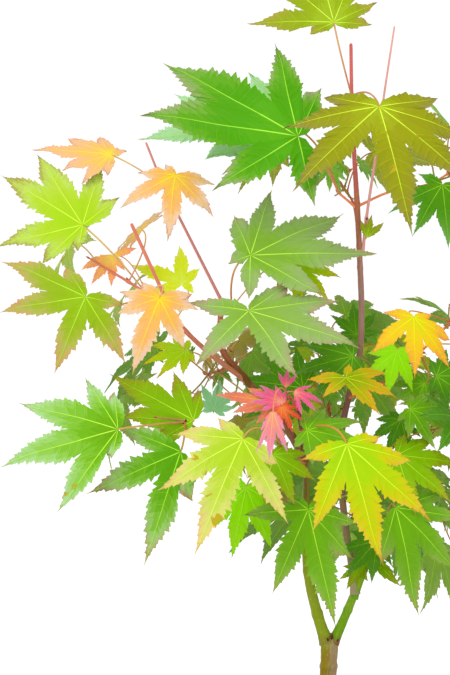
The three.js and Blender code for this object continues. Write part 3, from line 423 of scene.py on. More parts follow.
FOLIAGE = [
    mass(
        "foliage_top", [[10.75, 4, 367], [10.5, 4, 379], [10, 3, 405]], [0.97, 0.85],
        [
            fan(
                [1, -8, 415],
                [[19, -1], [22, 11], [12, 30], [-10, 43], [-34, 29], [-43, 0], [-12, -6]],
                "olive", tilt=35, droop=0.12,
            ),
            fan(
                [22, -34, 374],
                [[-27, 4], [-48, -11], [-43, -43], [16, -66], [46, -40], [43, -14], [29, 4]],
                "bronze", slim=0.88, spots=[(3, -13, 1), (6.5, -30.5, 1.2), (18.5, -15, 1)],
            ),
        ],
        twig="#D86C66",
        pairs=pairs(3, 30, 38, 3, [[-8, 5, 318], [100, 90, 386]]),
        coats=("olive", "bronze"),
    ),
    mass(
        "foliage_upper_left", [[11.2, 4, 325], [4, 2, 331]], [0.9, 0.8],
        [
            fan(
                [-17, -26, 359],
                [[12, 25], [-11, 49], [-67, 39], [-78, 11], [-42, -27], [8, -35]],
                "vivid", tilt=28, droop=0.1,
            ),
            fan(
                [-19, 6, 363],
                [[-22, 30], [-60, 19], [-78, -5], [-44, -16]],
                "vivid_pale", tilt=35, droop=0.1,
            ),
        ],
        twig="#E88860",
    ),
    mass(
        "foliage_upper_right", [[15.6, 4.6, 325], [29, 6, 331], [50, 14, 335], [64, 26, 342]], [0.9, 0.75],
        [fan(
            [56, 4, 335],
            [[-12, 6], [-28, -15], [-16, -27], [2, -34], [24, -28], [28, -6]],
            "green", tilt=35,
        )],
        twig="#E88860",
        pairs=pairs(3, 32, 40, 5, [[40, -25, 290], [125, 90, 400]]),
        coats=("green", "leaf", "olive"),
    ),
    mass(
        "foliage_upper_back", [[13.2, 6.2, 318], [12, 22, 326], [6, 42, 336]], [0.95, 0.75], [],
        pairs=pairs(4, 32, 40, 83, [[-78, 8, 325], [58, 110, 395]]),
        coats=("green", "vivid", "bronze"),
    ),
    mass(
        "foliage_side_shoot",
        [[16.6, 4.4, 303], [18, 2, 318], [22, 2, 346], [26, 2, 376], [31.5, 2, 413.5]], [0.8, 0.45],
        [fan(
            [18, -3, 309],
            [[9, 8], [3, 12], [-3, 9]],
            "olive", tilt=15, droop=0.1,
        )],
        twig="#DC9C94",
    ),
    mass(
        "foliage_left_shoot",
        [[-54.5, 3, 277.4], [-74.5, 4, 317], [-83, 5, 334], [-92, 6, 356]], [0.85, 0.55],
        [
            fan(
                [-109, -8, 350],
                [[8, 2], [-6, 10], [-22, 9], [-40, 3], [-24, -8], [-14, -15], [-1, -11]],
                "pale_orange", tilt=45, droop=0.12,
            ),
            fan(
                [-77, -16, 340],
                [[20, -4], [20, -22], [-4, -36], [-29, -17], [-19, 2], [-5, 6]],
                "peach", tilt=35, droop=0.3,
            ),
        ],
        twig="#D08480",
    ),
    mass(
        "foliage_left_node", [[-53.6, 1.6, 270], [-49, -4, 274]], [0.9, 0.75],
        [
            fan(
                [-40, -22, 301],
                [[-11, -4], [-8, 21], [11, 34], [47, 22], [63, 1], [37, -20], [-1, -22]],
                "sage", tilt=38, droop=0.1,
            ),
            fan(
                [-41, -36, 275],
                [[-30, 4], [-26, -27], [24, -33], [55, -19], [45, 5], [20, 13]],
                "sage_blush", tilt=38, droop=0.12,
            ),
            leaf([-19, 2, 296], 318, 28, "lime_gold", tilt=35),
        ],
        twig="#E87860",
    ),
    mass(
        "foliage_far_left", [[-77.3, -4, 268.4], [-91.5, -6, 281], [-120, -8, 299]], [1.0, 0.5],
        [
            fan(
                [-122, -26, 316],
                [[18, 14], [9, 32], [-24, 36], [-42, 26], [-43, -11], [-20, -19], [-2, -13]],
                "lime", droop=0.1,
            ),
            fan(
                [-120, -40, 282],
                [[19, -4], [20, -33], [-15, -38], [-43, -8], [-43, 18], [-10, 15]],
                "green_blush", droop=0.15,
            ),
            fan(
                [-108, -4, 300],
                [[12, 4], [6, -8], [-1, -17], [-12, -16], [-18, -8]],
                "salmon", droop=0.3,
            ),
            fan(
                [-74, 14, 285],
                [[6, -5], [9, 8], [-2, 20], [-27, 10], [-16, -6]],
                "chartreuse", tilt=35, droop=0.15,
            ),
            fan(
                [-84, -48, 282],
                [[16, 2], [19, -6], [13, -27], [-14, -40], [-22, -8], [-20, 3], [-9, 8]],
                "peach", droop=0.3,
            ),
        ],
        twig="#DC8068",
        shoots=[([[-77.6, -4, 268.7], [-99, -6, 316]], [0.95, 0.85])],
        pairs=pairs(3, 30, 34, 8, [[-165, 2, 240], [-72, 75, 340]]),
        coats=("lime", "peach", "green_blush"),
    ),
    mass(
        "foliage_low_left", [[-60.6, -26.2, 211.5], [-72, -31, 220], [-86, -38, 223]], [1.0, 0.8],
        [
            # Its pale grey-green margins are a painted sheen
            fan(
                [-104, -52, 219],
                [[-2, 18], [-17, 25], [-50, 13], [-58, -19], [-30, -41], [-3, -14]],
                "sheen", droop=0.15, spots=[(-20.5, -27, 1.4), (-25, -31, 1.1)],
            ),
            fan(
                [-68, -32, 221],
                [[4, 14], [-10, 24], [-42, 23], [-36, 1], [-20, -12]],
                "moss", tilt=10, droop=0.1,
            ),
            fan(
                [-74, -45, 207],
                [[-31, 13], [-47, -21], [-18, -56], [6, -24]],
                "fresh", tilt=20, droop=0.15, slim=0.9,
            ),
        ],
        twig="#A89048",
        pairs=pairs(3, 36, 42, 21, [[-150, -25, 160], [-40, 80, 248]]),
        coats=("leaf", "moss", "sheen"),
    ),
    mass(
        "foliage_front_left", [[-13.5, -7, 197], [-22, -26, 206], [-27, -42, 211]], [0.95, 0.75],
        [
            fan(
                [-44, -66, 216],
                [[-12, 10], [-34, 2], [-42, -25], [-24, -57], [22, -41], [17, -12]],
                "cream", slim=0.86,
                spots=[(-12, -39, 3.2), (-22.5, -9, 1.1), (-18, -16.5, 1), (-16, -26.5, 1)],
            ),
            leaf([-42, -20, 186], 258, 37, "bright", tilt=25),
            leaf([-29, -40, 205], 296, 28, "moss", tilt=30),
        ],
        twig="#C87850",
    ),
    mass(
        "foliage_pink", [[-16.3, -8.3, 223.5], [-20, -26, 231], [-23, -42, 234]], [0.95, 0.7],
        [
            fan(
                [-30, -82, 231],
                [[-6, -10], [-10, -23], [-2, -28], [8, -23], [6, -9]],
                "pink", tilt=15, droop=0.5, slim=0.6,
            ),
            fan(
                [-28, -40, 231],
                [[-14, 7], [-33, 3], [-22, -6], [-10, -12]],
                "coral", tilt=15, droop=0.3, slim=0.7,
            ),
            leaf([-24, -46, 231], 157, 20, "magenta", tilt=40, spread=0.6, slim=0.7),
            fan(
                [-23, -40, 238],
                [[6, 7], [1, 10], [-4, 8]],
                "magenta", tilt=20, slim=0.75,
            ),
            fan(
                [-19, -50, 237],
                [[9, 3], [17, -7], [13, -13], [4, -14]],
                "magenta", tilt=30, droop=0.5, slim=0.6,
            ),
            leaf([-25, -48, 229], 298, 15, "ember", tilt=20, droop=0.4, slim=0.7),
        ],
        twig="#E84850",
    ),
    mass(
        "foliage_front", [[-12.5, -7, 212], [-15, -34, 216], [-16, -48, 218]], [0.95, 0.75],
        [
            fan(
                [5, -78, 215],
                [[16, 4], [32, -8], [40, -37], [17, -58], [-17, -42], [-22, -7]],
                "sunset", droop=0.15, slim=0.88,
            ),
            leaf([-13, -50, 218], 352, 34, "leaf", tilt=50),
        ],
        twig="#E87850",
    ),
    mass(
        "foliage_low_front", [[-12.3, -6.5, 173], [-15, -24, 179]], [0.9, 0.75],
        [fan(
            [-12, -40, 178],
            [[19, 7], [25, -7], [22, -24], [13, -57], [-18, -41], [-33, -3], [-11, 8]],
            "leaf", droop=0.12, slim=0.86,
        )],
        twig="#A8A040",
    ),
    mass(
        "foliage_low_right", [[25, -5, 156], [27, -14, 164], [28, -22, 170]], [0.9, 0.75],
        [
            fan(
                [31, -34, 178],
                [[28, 8], [35, -6], [33, -33], [12, -56], [-8, -28]],
                "leaf", droop=0.25, slim=0.86,
            ),
            fan(
                [18, -8, 151],
                [[-9, -17], [18, -17], [12, 1]],
                "moss", tilt=35,
            ),
            leaf([15, -10, 145], 236, 14, "moss", tilt=30, spread=0.8),
            leaf([23, -18, 159], 224, 24, "deep", tilt=30),
        ],
        twig="#A8B048",
    ),
    mass(
        "foliage_right", [[40.2, -0.8, 192.5], [50, 2, 212], [66, 4, 226], [82, 5, 234]], [1.05, 0.75],
        [
            leaf([39, -20, 225], 340, 26, "leaf", tilt=40),
            leaf([36, 4, 217], 245, 22, "deep", tilt=30),
            leaf([32, -28, 203], 325, 36, "moss", tilt=35),
        ],
        twig="#C89048",
        pairs=pairs(5, 34, 42, 31, [[28, -62, 175], [140, 90, 285]]),
        coats=("leaf", "deep", "green", "moss"),
    ),
    mass(
        "foliage_mid_right",
        [[11.5, 2.4, 229], [28.5, -2, 236.5], [45, -4, 252], [60, -5, 267], [74, -6, 281]], [1.1, 0.8],
        [
            fan(
                [39, -38, 272],
                [[9, 1], [19, -12], [19, -28], [0, -34], [-23, -20], [-15, 3]],
                "gold", tilt=35, droop=0.35,
            ),
            fan(
                [6, -44, 243],
                [[2, 7], [21, 3], [27, -11], [17, -20], [-12, -10], [-20, -1]],
                "amber", tilt=40, droop=0.3,
            ),
            leaf([53, -6, 240], 0, 28, "deep", tilt=30),
            leaf([33, -8, 253], 255, 25, "bright", tilt=30),
            leaf([47, -6, 236], 205, 20, "leaf", tilt=40),
            leaf([11, -8, 250], 190, 32, "deep", tilt=40),
        ],
        twig="#D87058",
        pairs=pairs(3, 32, 38, 92, [[52, -60, 205], [140, 65, 325]]),
        coats=("green", "gold", "leaf"),
    ),
    mass(
        "foliage_heart", [[12, 7.4, 241], [4, 12, 247]], [0.9, 0.75],
        [
            leaf([14, 14, 259], 95, 20, "deep", tilt=30, droop=0.1, spread=1.2),
            leaf([-13, 12, 232], 172, 36, "deep", tilt=10, droop=0.1),
        ],
        twig="#A86850",
    ),
    mass(
        "foliage_back_left", [[-47.6, 4.9, 245], [-55, 20, 240], [-63, 42, 236]], [1.0, 0.75],
        [
            leaf([-58, 12, 221], 78, 18, "mint", tilt=25, droop=0.1),
            leaf([-72, 12, 251], 188, 24, "lime_gold", tilt=50),
        ],
        pairs=pairs(5, 32, 40, 41, [[-125, 0, 178], [-12, 115, 275]]),
        coats=("green", "lime", "leaf", "peach"),
    ),
    mass(
        "foliage_back", [[1.9, 34.7, 212.6], [0, 48, 228], [-1, 62, 246]], [1.05, 0.75], [],
        pairs=pairs(6, 36, 44, 52, [[-55, 8, 185], [75, 130, 300]]),
        coats=("leaf", "vivid", "green", "sunset"),
    ),
    mass(
        "foliage_low_back", [[18.2, 30.7, 157.3], [20, 44, 166], [22, 58, 178]], [1.05, 0.75], [],
        pairs=pairs(5, 34, 42, 61, [[-55, 0, 108], [80, 115, 205]]),
        coats=("leaf", "deep", "vivid"),
    ),
    mass(
        "foliage_low_far_right", [[30.8, -2.2, 163], [48, 4, 165], [66, 8, 170]], [0.95, 0.75], [],
        pairs=pairs(5, 32, 42, 71, [[32, -72, 108], [135, 85, 205]]),
        coats=("leaf", "green", "vivid"),
    ),
]


# The growth rule, as in the model

def on_blade(blade, ahead, aside, lift=0.0):
    """Places on a blade given flat, in shares of its middle lobe. It bends down evenly outwards."""
    ahead, aside, lift = np.broadcast_arrays(*(np.asarray(v, float) for v in (ahead, aside, lift)))
    side = np.cross(blade.normal, blade.heading)
    bend = 2 * blade.droop / blade.span
    reach = np.hypot(ahead, aside) * blade.span
    shrink = np.sinc(bend * reach / math.pi) * blade.span
    drop = (1 - np.cos(bend * reach)) / bend
    return (
        blade.at
        + (ahead * shrink)[..., None] * blade.heading
        + (aside * shrink)[..., None] * side
        + (lift * blade.span - drop)[..., None] * blade.normal
    )


def blade_reach(lobes, turn):
    """How far a blade reaches, as a share of its middle lobe, at angles from that lobe."""
    first, last = lobes[0], lobes[-1]
    heel = first[0] - HEEL_MARGIN
    angle = heel + (turn - heel) % 360
    reach = np.interp(angle, [lobe[0] for lobe in lobes], [lobe[1] for lobe in lobes])
    return np.where(angle > last[0] + HEEL_MARGIN, 0.0, reach)


def heights_over_blade(blade, places):
    """How high places are over the bent face of a blade, or nan where they are off to the side."""
    apart = places - blade.at
    ahead = apart @ blade.heading
    aside = apart @ np.cross(blade.normal, blade.heading)
    reach = np.hypot(ahead, aside)
    turn = np.degrees(np.arctan2(aside, ahead))
    bend = 2 * blade.droop / blade.span
    drop = (1 - np.sqrt(1 - np.minimum(bend * reach, STEEPEST_BEND) ** 2)) / bend
    height = apart @ blade.normal + drop
    beside = reach > (blade_reach(blade.lobes, turn) + EDGE_MARGIN) * blade.span
    return np.where(beside, np.nan, height)


def crosses_blade(blade, places):
    """Whether a line of places comes close to a blade's face or passes through it."""
    height = heights_over_blade(blade, places)
    near = np.abs(height) < FACE_MARGIN
    through = height[1:] * height[:-1] < 0
    return bool(near.any() or through.any())


def blade_ribs(blade):
    """The middle line of each of the larger lobes, from the joint to the tip."""
    ribs = []
    for turn, length in blade.lobes:
        if length > LARGE_LOBE:
            radius = length * np.linspace(0, 1, RIB_PLACES)
            angle = math.radians(turn)
            ribs.append(on_blade(blade, radius * math.cos(angle), radius * math.sin(angle)))
    return ribs


def blades_meet(one, other):
    """Whether a rib of either blade comes close to the face of the other."""
    if any(crosses_blade(other, rib) for rib in one.ribs):
        return True
    return any(crosses_blade(one, rib) for rib in other.ribs)


def settle(blade):
    """Works out once what the tests for room ask of a leaf."""
    blade.ribs = blade_ribs(blade)
    blade.stalk = StalkCourse(blade)
    blade.stalk_places = blade.stalk.spaced(STALK_PLACES)
    return blade


def has_room(blade, home, limb_places):
    """Whether a leaf stays in its mass's space, clear of limbs, stems, leaves and their stalks."""
    low, high = home.pairs.space
    ribs = np.concatenate(blade.ribs)
    if (ribs < low).any() or (ribs > high).any():
        return False
    if any(crosses_blade(blade, places) for places in limb_places):
        return False
    for other in FOLIAGE:
        if other is not home and crosses_blade(blade, other.places):
            return False
        for grown in other.leaves:
            if blades_meet(blade, grown):
                return False
            if other is home:
                continue
            if crosses_blade(blade, grown.stalk_places) or crosses_blade(grown, blade.stalk_places):
                return False
    return True


def hanging_leaf(node, stalk, reach, span, key, coat):
    """A leaf that the rule adds: its face turned away from the middle of the crown and a
    little upwards, its middle lobe carrying on from the stalk and then hanging."""
    at = node + stalk * reach
    turn = math.atan2(at[0] - CROWN_MIDDLE[0], CROWN_MIDDLE[1] - at[1]) + FACE_SCATTER * (chance(key) - 0.5)
    normal = facing(between(FACE_PITCH, chance(key + 0.3)), math.degrees(turn))
    across = np.array([math.cos(turn), math.sin(turn), 0.0])
    heading = across * (stalk @ across)
    heading[2] = stalk[2] - HANG
    heading = unit(heading - (heading @ normal) * normal)
    return held_blade(
        at, heading, normal, span, coat, between(LEAF_DROOP, chance(key + 0.6)), even_lobes(1.0),
        loose=1.0, curl=0.1, node=node,
    )


def across_stem(stem, way):
    """A node on a stem, the way the stem runs there, and two ways square to it."""
    node, along = stem.at(way), stem.direction(way)
    first = unit(np.cross([0.0, 0.0, 1.0], along))
    return node, along, first, np.cross(along, first)


def twin_bearing(rule, pair, twin, key):
    """How far round its stem one of a pair stands, with a quarter turn more for each pair."""
    turned = PAIR_TURN * pair + 180 * twin + rule.seed * SEED_TURN
    return math.radians(turned + BEARING_SCATTER * (chance(key) - 0.5))


def grow_pairs(home, limb_places):
    """The opposite-pair rule: leaves stand in pairs along the stem, each pair turned a
    quarter round from the last, and each leaf takes the first of a few tries with room."""
    rule = home.pairs
    stem = Course(home.stem)
    for pair in range(rule.count):
        way = min((pair + FIRST_PAIR) / rule.count, 1.0)
        node, along, first, second = across_stem(stem, way)
        for twin in range(2):
            for attempt in range(ATTEMPTS):
                key = rule.seed * 17 + pair * 5 + twin * 2 + attempt * 0.37
                bearing = twin_bearing(rule, pair, twin, key)
                stalk = first * math.cos(bearing) + second * math.sin(bearing)
                stalk = stalk + along * STALK_LEAN * chance(key + 0.2)
                stalk[2] += STALK_RISE
                size = rule.span * (LARGEST - SHRINKING * attempt)
                reach = rule.reach * between(STALK_REACH, chance(key + 1))
                coat = home.coats[int(chance(key + 4) * len(home.coats))]
                blade = settle(hanging_leaf(node, unit(stalk), reach, size, key, coat))
                if has_room(blade, home, limb_places):
                    home.leaves.append(blade)
                    break


def grow_fine_twigs(home, limb_places):
    """Carries a mass on to finer twigs by the same rule: between one pair of leaves and the next
    stand two slim twigs, each with a pair of young leaves at its end where they have room."""
    rule = home.pairs
    stem = Course(home.stem)
    for pair in range(rule.count):
        way = min((pair + FIRST_PAIR - 0.5) / rule.count, 1.0)
        node, along, first, second = across_stem(stem, way)
        for twin in range(2):
            key = rule.seed * 23 + pair * 5 + twin * 2
            bearing = twin_bearing(rule, pair + 1, twin, key)
            ahead = first * math.cos(bearing) + second * math.sin(bearing) + along * STALK_LEAN
            ahead = unit(ahead + [0.0, 0.0, STALK_RISE])
            tip = node + ahead * between(FINE_TWIG_LENGTH, chance(key + 1))
            elbow = (node + tip) / 2 - [0.0, 0.0, FINE_TWIG_SAG]
            twig = Course([node, elbow, tip]).spaced(TWIG_PLACES)
            if not twig_has_room(twig, home):
                continue
            home.fine_twigs.append([node, elbow, tip])
            across = unit(np.cross(ahead, [0.0, 0.0, 1.0]))
            for side in (-1, 1):
                stalk = unit(side * across + YOUNG_STALK_LEAN * ahead)
                coat = home.coats[int(chance(key + side) * len(home.coats))]
                span = between(YOUNG_SPAN, chance(key + 0.4 * side))
                young = settle(hanging_leaf(tip, stalk, YOUNG_REACH, span, key + side, coat))
                if has_room(young, home, limb_places):
                    home.leaves.append(young)


def twig_has_room(places, home):
    """Whether a fine twig stays in its mass's space and clear of every blade."""
    low, high = home.pairs.space
    if (places < low).any() or (places > high).any():
        return False
    return not any(crosses_blade(blade, places) for other in FOLIAGE for blade in other.leaves)


def nearest_node(home, place):
    """The place of a mass's stem that a leaf in view hangs from. The end of a stem of three places
    or more bears no leaf, and nor does the foot of a longer one."""
    nodes = [np.array(p, float) for p in home.stem]
    if len(nodes) > 2:
        nodes.pop()
    if len(nodes) > 2:
        nodes.pop(0)
    return min(nodes, key=lambda node: np.linalg.norm(node - place))


def course_places(places):
    """Places at even steps along a course."""
    course = Course(places)
    return course.spaced(math.ceil(course.length / STEM_STEP))


def grow_foliage():
    """Hangs the leaves in view on their stems, then grows the rule's leaves, then its fine twigs."""
    limb_places = [course_places(course) for course, _ in LIMBS.values()]
    for home in FOLIAGE:
        home.places = course_places(home.stem)
        for blade in home.leaves:
            blade.node = nearest_node(home, blade.at)
            settle(blade)
    for home in FOLIAGE:
        if home.pairs:
            grow_pairs(home, limb_places)
    for home in FOLIAGE:
        if home.pairs:
            grow_fine_twigs(home, limb_places)


# Skins: every surface is gathered as corners, triangles and a finish for each triangle

class Skin:
    def __init__(self):
        self.corners = []
        self.faces = []
        self.finishes = []
        self.count = 0

    def add(self, corners, faces, finishes):
        """finishes is one finish name for all the faces, or a list with one for each."""
        self.corners.append(corners)
        self.faces.append(faces + self.count)
        named = [finishes] * len(faces) if isinstance(finishes, str) else finishes
        self.finishes.extend(named)
        self.count += len(corners)

    def piece(self, name, finish_of, crease=50.0):
        """The Blender object of all that was gathered, with one material for each finish."""
        corners = np.concatenate(self.corners) * MM
        faces = np.concatenate(self.faces)
        names = sorted(set(self.finishes))
        slots = {finish: slot for slot, finish in enumerate(names)}
        data = bpy.data.meshes.new(name)
        data.vertices.add(len(corners))
        data.vertices.foreach_set("co", corners.astype(np.float32).ravel())
        data.loops.add(len(faces) * 3)
        data.loops.foreach_set("vertex_index", faces.astype(np.int32).ravel())
        data.polygons.add(len(faces))
        data.polygons.foreach_set("loop_start", np.arange(0, len(faces) * 3, 3, dtype=np.int32))
        data.update(calc_edges=True)
        for finish in names:
            data.materials.append(finish_of(finish))
        data.polygons.foreach_set("material_index", np.array([slots[f] for f in self.finishes], np.int32))
        data.shade_smooth()
        data.set_sharp_from_angle(angle=math.radians(crease))
        data.validate()
        thing = bpy.data.objects.new(name, data)
        bpy.context.scene.collection.objects.link(thing)
        return thing


def grid_faces(rows, columns, closed=False):
    """Triangles over a grid of corners that runs row by row; closed joins the last column to the first."""
    cells = columns if closed else columns - 1
    row, column = np.meshgrid(np.arange(rows - 1), np.arange(cells), indexing="ij")
    a = row * columns + column
    b = row * columns + (column + 1) % columns
    c, d = b + columns, a + columns
    return np.stack([np.stack([a, b, c], -1), np.stack([a, c, d], -1)], 2).reshape(-1, 3)


def lofted(rings, ends=None):
    """A closed skin over rings of equal count. Its ends are filled from the places given, or from
    the middles of the first and the last ring."""
    sides = len(rings[0])
    if ends is None:
        ends = [rings[0].mean(axis=0), rings[-1].mean(axis=0)]
    corners = np.concatenate([*rings, ends])
    ring = np.arange(sides)
    after = (ring + 1) % sides
    top = (len(rings) - 1) * sides
    foot = np.stack([np.full(sides, len(corners) - 2), after, ring], -1)
    cap = np.stack([np.full(sides, len(corners) - 1), top + ring, top + after], -1)
    return corners, np.concatenate([grid_faces(len(rings), sides, closed=True), foot, cap])


def tube(middles, radii, sides, level=False):
    """A closed skin round a line of middles. radii is one number or one row of them for each middle.
    The rings of a level tube stay horizontal and start at +X."""
    middles = np.asarray(middles, float)
    along = np.gradient(middles, axis=0)
    along /= np.linalg.norm(along, axis=1)[:, None]
    radii = np.asarray(radii, float)
    if radii.ndim == 1:
        radii = np.repeat(radii[:, None], sides, axis=1)
    start = np.cross(along[0], [0.0, 1.0, 0.0] if abs(along[0][1]) < 0.9 else [1.0, 0.0, 0.0])
    ways = [unit(start)]
    for step in along[1:]:
        ways.append(unit(ways[-1] - (ways[-1] @ step) * step))
    ways = np.array(ways)
    others = np.cross(along, ways)
    if level:
        ways[:], others[:] = [1.0, 0.0, 0.0], [0.0, 1.0, 0.0]
    angle = np.linspace(0, 2 * math.pi, sides, endpoint=False)
    around = np.cos(angle)[None, :, None] * ways[:, None] + np.sin(angle)[None, :, None] * others[:, None]
    return lofted(middles[:, None] + radii[..., None] * around, [middles[0], middles[-1]])


# Blades

# How many tints a coat is dealt out in over a blade, its under face and its veins
TONE_STEPS = 10
UNDER_STEPS = 4
VEIN_STEPS = 3

# What a triangle shows: 0 is plain blade, 1 to VEIN_STEPS a rib, and these two the rest
SIDE_VEIN_KIND = 9
SPOT_KIND = 8

# The toothed margin
TOOTH_PITCH = 5.2
TOOTH_DEPTH = 0.036
TOOTH_BY_LOBE = 0.8
LEAST_TOOTH = 0.45
TOOTH_VARIETY = 1.1
TOOTH_SHRINKING = 1.12
TOOTHED_SHARE = 0.66
MOST_TEETH = 9
FEWEST_TEETH = 3
ENTIRE_TIP = 0.86
WIDEST_AT = 0.47
TIP_NARROWING = 1.7
SWELL_RANGE = (0.1, 0.9)
LEAST_SWELL = 1.02
TOOTH_ROOM = 0.95
SLIT = 0.96
# Half the turn between lobes, in radians, past which they gain no more room and no wider slit
WIDEST_ROOM = 1.0
WIDEST_SLIT = 1.2
# One large tooth with a small one behind it: places along it, and how far each stands out.
# A side vein runs out between the marks numbered SIDE_VEIN and the one after it.
TOOTH_MARKS = [0.0, 0.40, 0.50, 0.90, 0.96]
TOOTH_EDGE = [-0.62, 0.16, -0.18, 0.66, 0.72]
SIDE_VEIN = 3
# How soon past its notch a margin has full teeth, full puckers, and full waves and edge tone:
# 8 means an eighth of the way along
TOOTH_ONSET = 8
PUCKER_ONSET = 6
EDGE_ONSET = 3

# The rows of a lobe from the joint to its notch, and the places across it from rib to margin
INNER_ROWS = 5
ACROSS = [0.0, 0.1, 0.45, 0.78, 1.0]
NEAREST_START = 0.02
RIB_START = 0.3

# Relief and veins, in shares of the middle lobe where they are lengths
FOLD = 0.2
FOLD_EASING = 0.45
VEIN_RISE = 0.004
LEAST_VEIN = 0.55
VEIN_BY_LOBE = 0.45
WIDEST_VEIN = 0.3
VEIN_TAPER = 0.72
VEIN_LEAN = 0.72
SIDE_VEIN_BEND = 1.3
PUCKER = 0.003
WAVE = 0.014
WAVE_TURN = 9
WAVE_PHASE = 6.3
CREASES = 0.01
LOBE_BOW = 0.035
EDGE_THICKNESS = 0.002

# How a coat's tone runs outwards from the joint and towards an edge, each by how much and how
# steeply, and how cloudy and how speckled it is
TONE_OUTWARDS = (0.8, 1.25)
TONE_EDGEWARDS = (0.22, 3)
TONE_CLOUD = 0.06
TONE_SPECKLE = 0.05

# How far chance turns a loose lobe, in degrees, and how much longer it makes it
LOOSE_TURN = 5
LOOSE_LENGTH = 0.09


def lobe_half(length, slim):
    """Half the greatest width of a lobe, for its length."""
    return LOBE_HALF * length**LOBE_SLIMNESS * slim


def blade_notches(lobes, slim):
    """The notches beside a blade's lobes as angles and radii, heels included."""
    first, last = lobes[0], lobes[-1]
    heel = min(HEEL_APART, (360 - last[0] + first[0]) * HEEL_SHARE)
    notches = [(first[0] - heel, BLADE_HEEL)]
    for one, other in zip(lobes, lobes[1:]):
        apart = math.radians(other[0] - one[0])
        halves = lobe_half(one[1], slim) + lobe_half(other[1], slim)
        parting = NOTCH_DEPTH * halves / 2 / math.sin(apart / 2)
        furthest = NOTCH_FURTHEST * min(one[1], other[1])
        notches.append(((one[0] + other[0]) / 2, min(max(parting, NOTCH_NEAREST), furthest)))
    return notches + [(last[0] + heel, BLADE_HEEL)]


def lobe_envelope(t, swell_at, sinus_half, half):
    """The smooth half width of a lobe from its notch, t = 0, to its tip, t = 1."""
    rise = sinus_half + (half - sinus_half) * np.sin(np.clip(t / swell_at, 0, 1) * math.pi / 2)
    fall = half * np.cos(np.clip((t - swell_at) / (1 - swell_at), 0, 1) * math.pi / 2) ** TIP_NARROWING
    return np.where(t < swell_at, rise, fall)


def tooth_stations(teeth):
    """Places along a margin as shares of it, how far out each lies on its tooth, and which of them
    a side vein runs out to."""
    places, edges, veins = [], [], []
    for tooth in range(teeth):
        low, high = (1 - (1 - (tooth + k) / teeth) ** TOOTH_SHRINKING for k in (0, 1))
        for number, (mark, edge) in enumerate(zip(TOOTH_MARKS, TOOTH_EDGE)):
            places.append((low + (high - low) * mark) * ENTIRE_TIP)
            edges.append(edge)
            veins.append(number == SIDE_VEIN)
    places += [ENTIRE_TIP, (1 + ENTIRE_TIP) / 2, 1.0]
    edges += [-0.2, 0.0, 0.0]
    veins += [False] * 3
    return np.array(places), np.array(edges), np.array(veins)


def loosened(blade, key):
    """A blade's lobes, each turned and lengthened a little by chance where the leaf isn't placed
    by the tips of its lobes."""
    return [
        (
            turn + blade.loose * LOOSE_TURN * (chance(key + order * 0.71) - 0.5),
            length * (1 + blade.loose * LOOSE_LENGTH * (chance(key + order * 1.31 + 5) - 0.5)),
        )
        for order, (turn, length) in enumerate(blade.lobes)
    ]


def lobe_plan(blade, order, turn, length, beside, key):
    """What both sides of a lobe share: its margin's stations, where it starts past its notches,
    and its rib, whose places lie back from the margin's so that the side veins lean outwards."""
    teeth = round(length * TOOTHED_SHARE * blade.span / TOOTH_PITCH)
    stations, edges, on_vein = tooth_stations(int(np.clip(teeth, FEWEST_TEETH, MOST_TEETH)))
    starts = [radius * math.cos(math.radians(angle - turn)) for angle, radius in beside]
    halves = [radius * math.sin(math.radians(abs(angle - turn))) for angle, radius in beside]
    start = max(sum(starts) / 2, NEAREST_START)
    swell_at = float(np.clip((WIDEST_AT * length - start) / (length - start), *SWELL_RANGE))
    half = lobe_half(length, blade.slim)
    mean_edge = lobe_envelope(stations, swell_at, sum(halves) / 2, half)
    rib = start + (length - start) * stations - VEIN_LEAN * mean_edge
    rib = np.maximum.accumulate(np.maximum(rib, start * RIB_START))
    rib[-1] = length
    inner = np.arange(1, INNER_ROWS) / INNER_ROWS
    return SimpleNamespace(
        order=order, turn=turn, length=length, start=start, half=half, inner=inner,
        stations=stations, edges=edges, on_vein=on_vein, rib=np.concatenate([[0.0], inner * rib[0], rib]),
        bow=LOBE_BOW * length * 2 * (chance(key + order * 3.1) - 0.5),
    )


def half_lobe(lobe, notch, side, key):
    """How far ahead and aside the margin of one side of a lobe lies, from the joint to the tip."""
    length, stations = lobe.length, lobe.stations
    apart = math.radians(abs(notch[0] - lobe.turn))
    sinus_ahead, sinus_half = notch[1] * math.cos(apart), notch[1] * math.sin(apart)
    shoulder = max(WIDEST_AT * length, sinus_ahead * SHOULDER_PAST_NOTCH)
    shoulder = min(shoulder, SHOULDER_NEAREST_TIP * length)
    room = shoulder * math.tan(min(apart, WIDEST_ROOM)) * SHOULDER_TURN
    widest = max(min(lobe.half * TOOTH_ROOM, room), sinus_half * LEAST_SWELL)
    swell = (shoulder - sinus_ahead) / (length - sinus_ahead)
    edge = lobe_envelope(stations, swell, sinus_half, widest)
    tooth = np.arange(len(stations)) // len(TOOTH_MARKS)
    wilful = LEAST_TOOTH + TOOTH_VARIETY * chances(key + side * 0.9 + tooth)
    depth = TOOTH_DEPTH * length**TOOTH_BY_LOBE * wilful * np.sqrt(edge / widest)
    depth = depth * (1 - sinus_ahead / length) ** 0.5
    edge = edge + lobe.edges * depth * np.minimum(stations * TOOTH_ONSET, 1.0)
    ahead = sinus_ahead + (length - sinus_ahead) * stations
    edge[1:] = np.minimum(edge[1:], ahead[1:] * math.tan(min(apart, WIDEST_SLIT)) * SLIT)
    edge[-1] = 0.0
    ahead = np.concatenate([[0.0], lobe.inner * sinus_ahead, ahead])
    edge = np.concatenate([[0.0], lobe.inner * sinus_half, edge])
    return ahead, edge


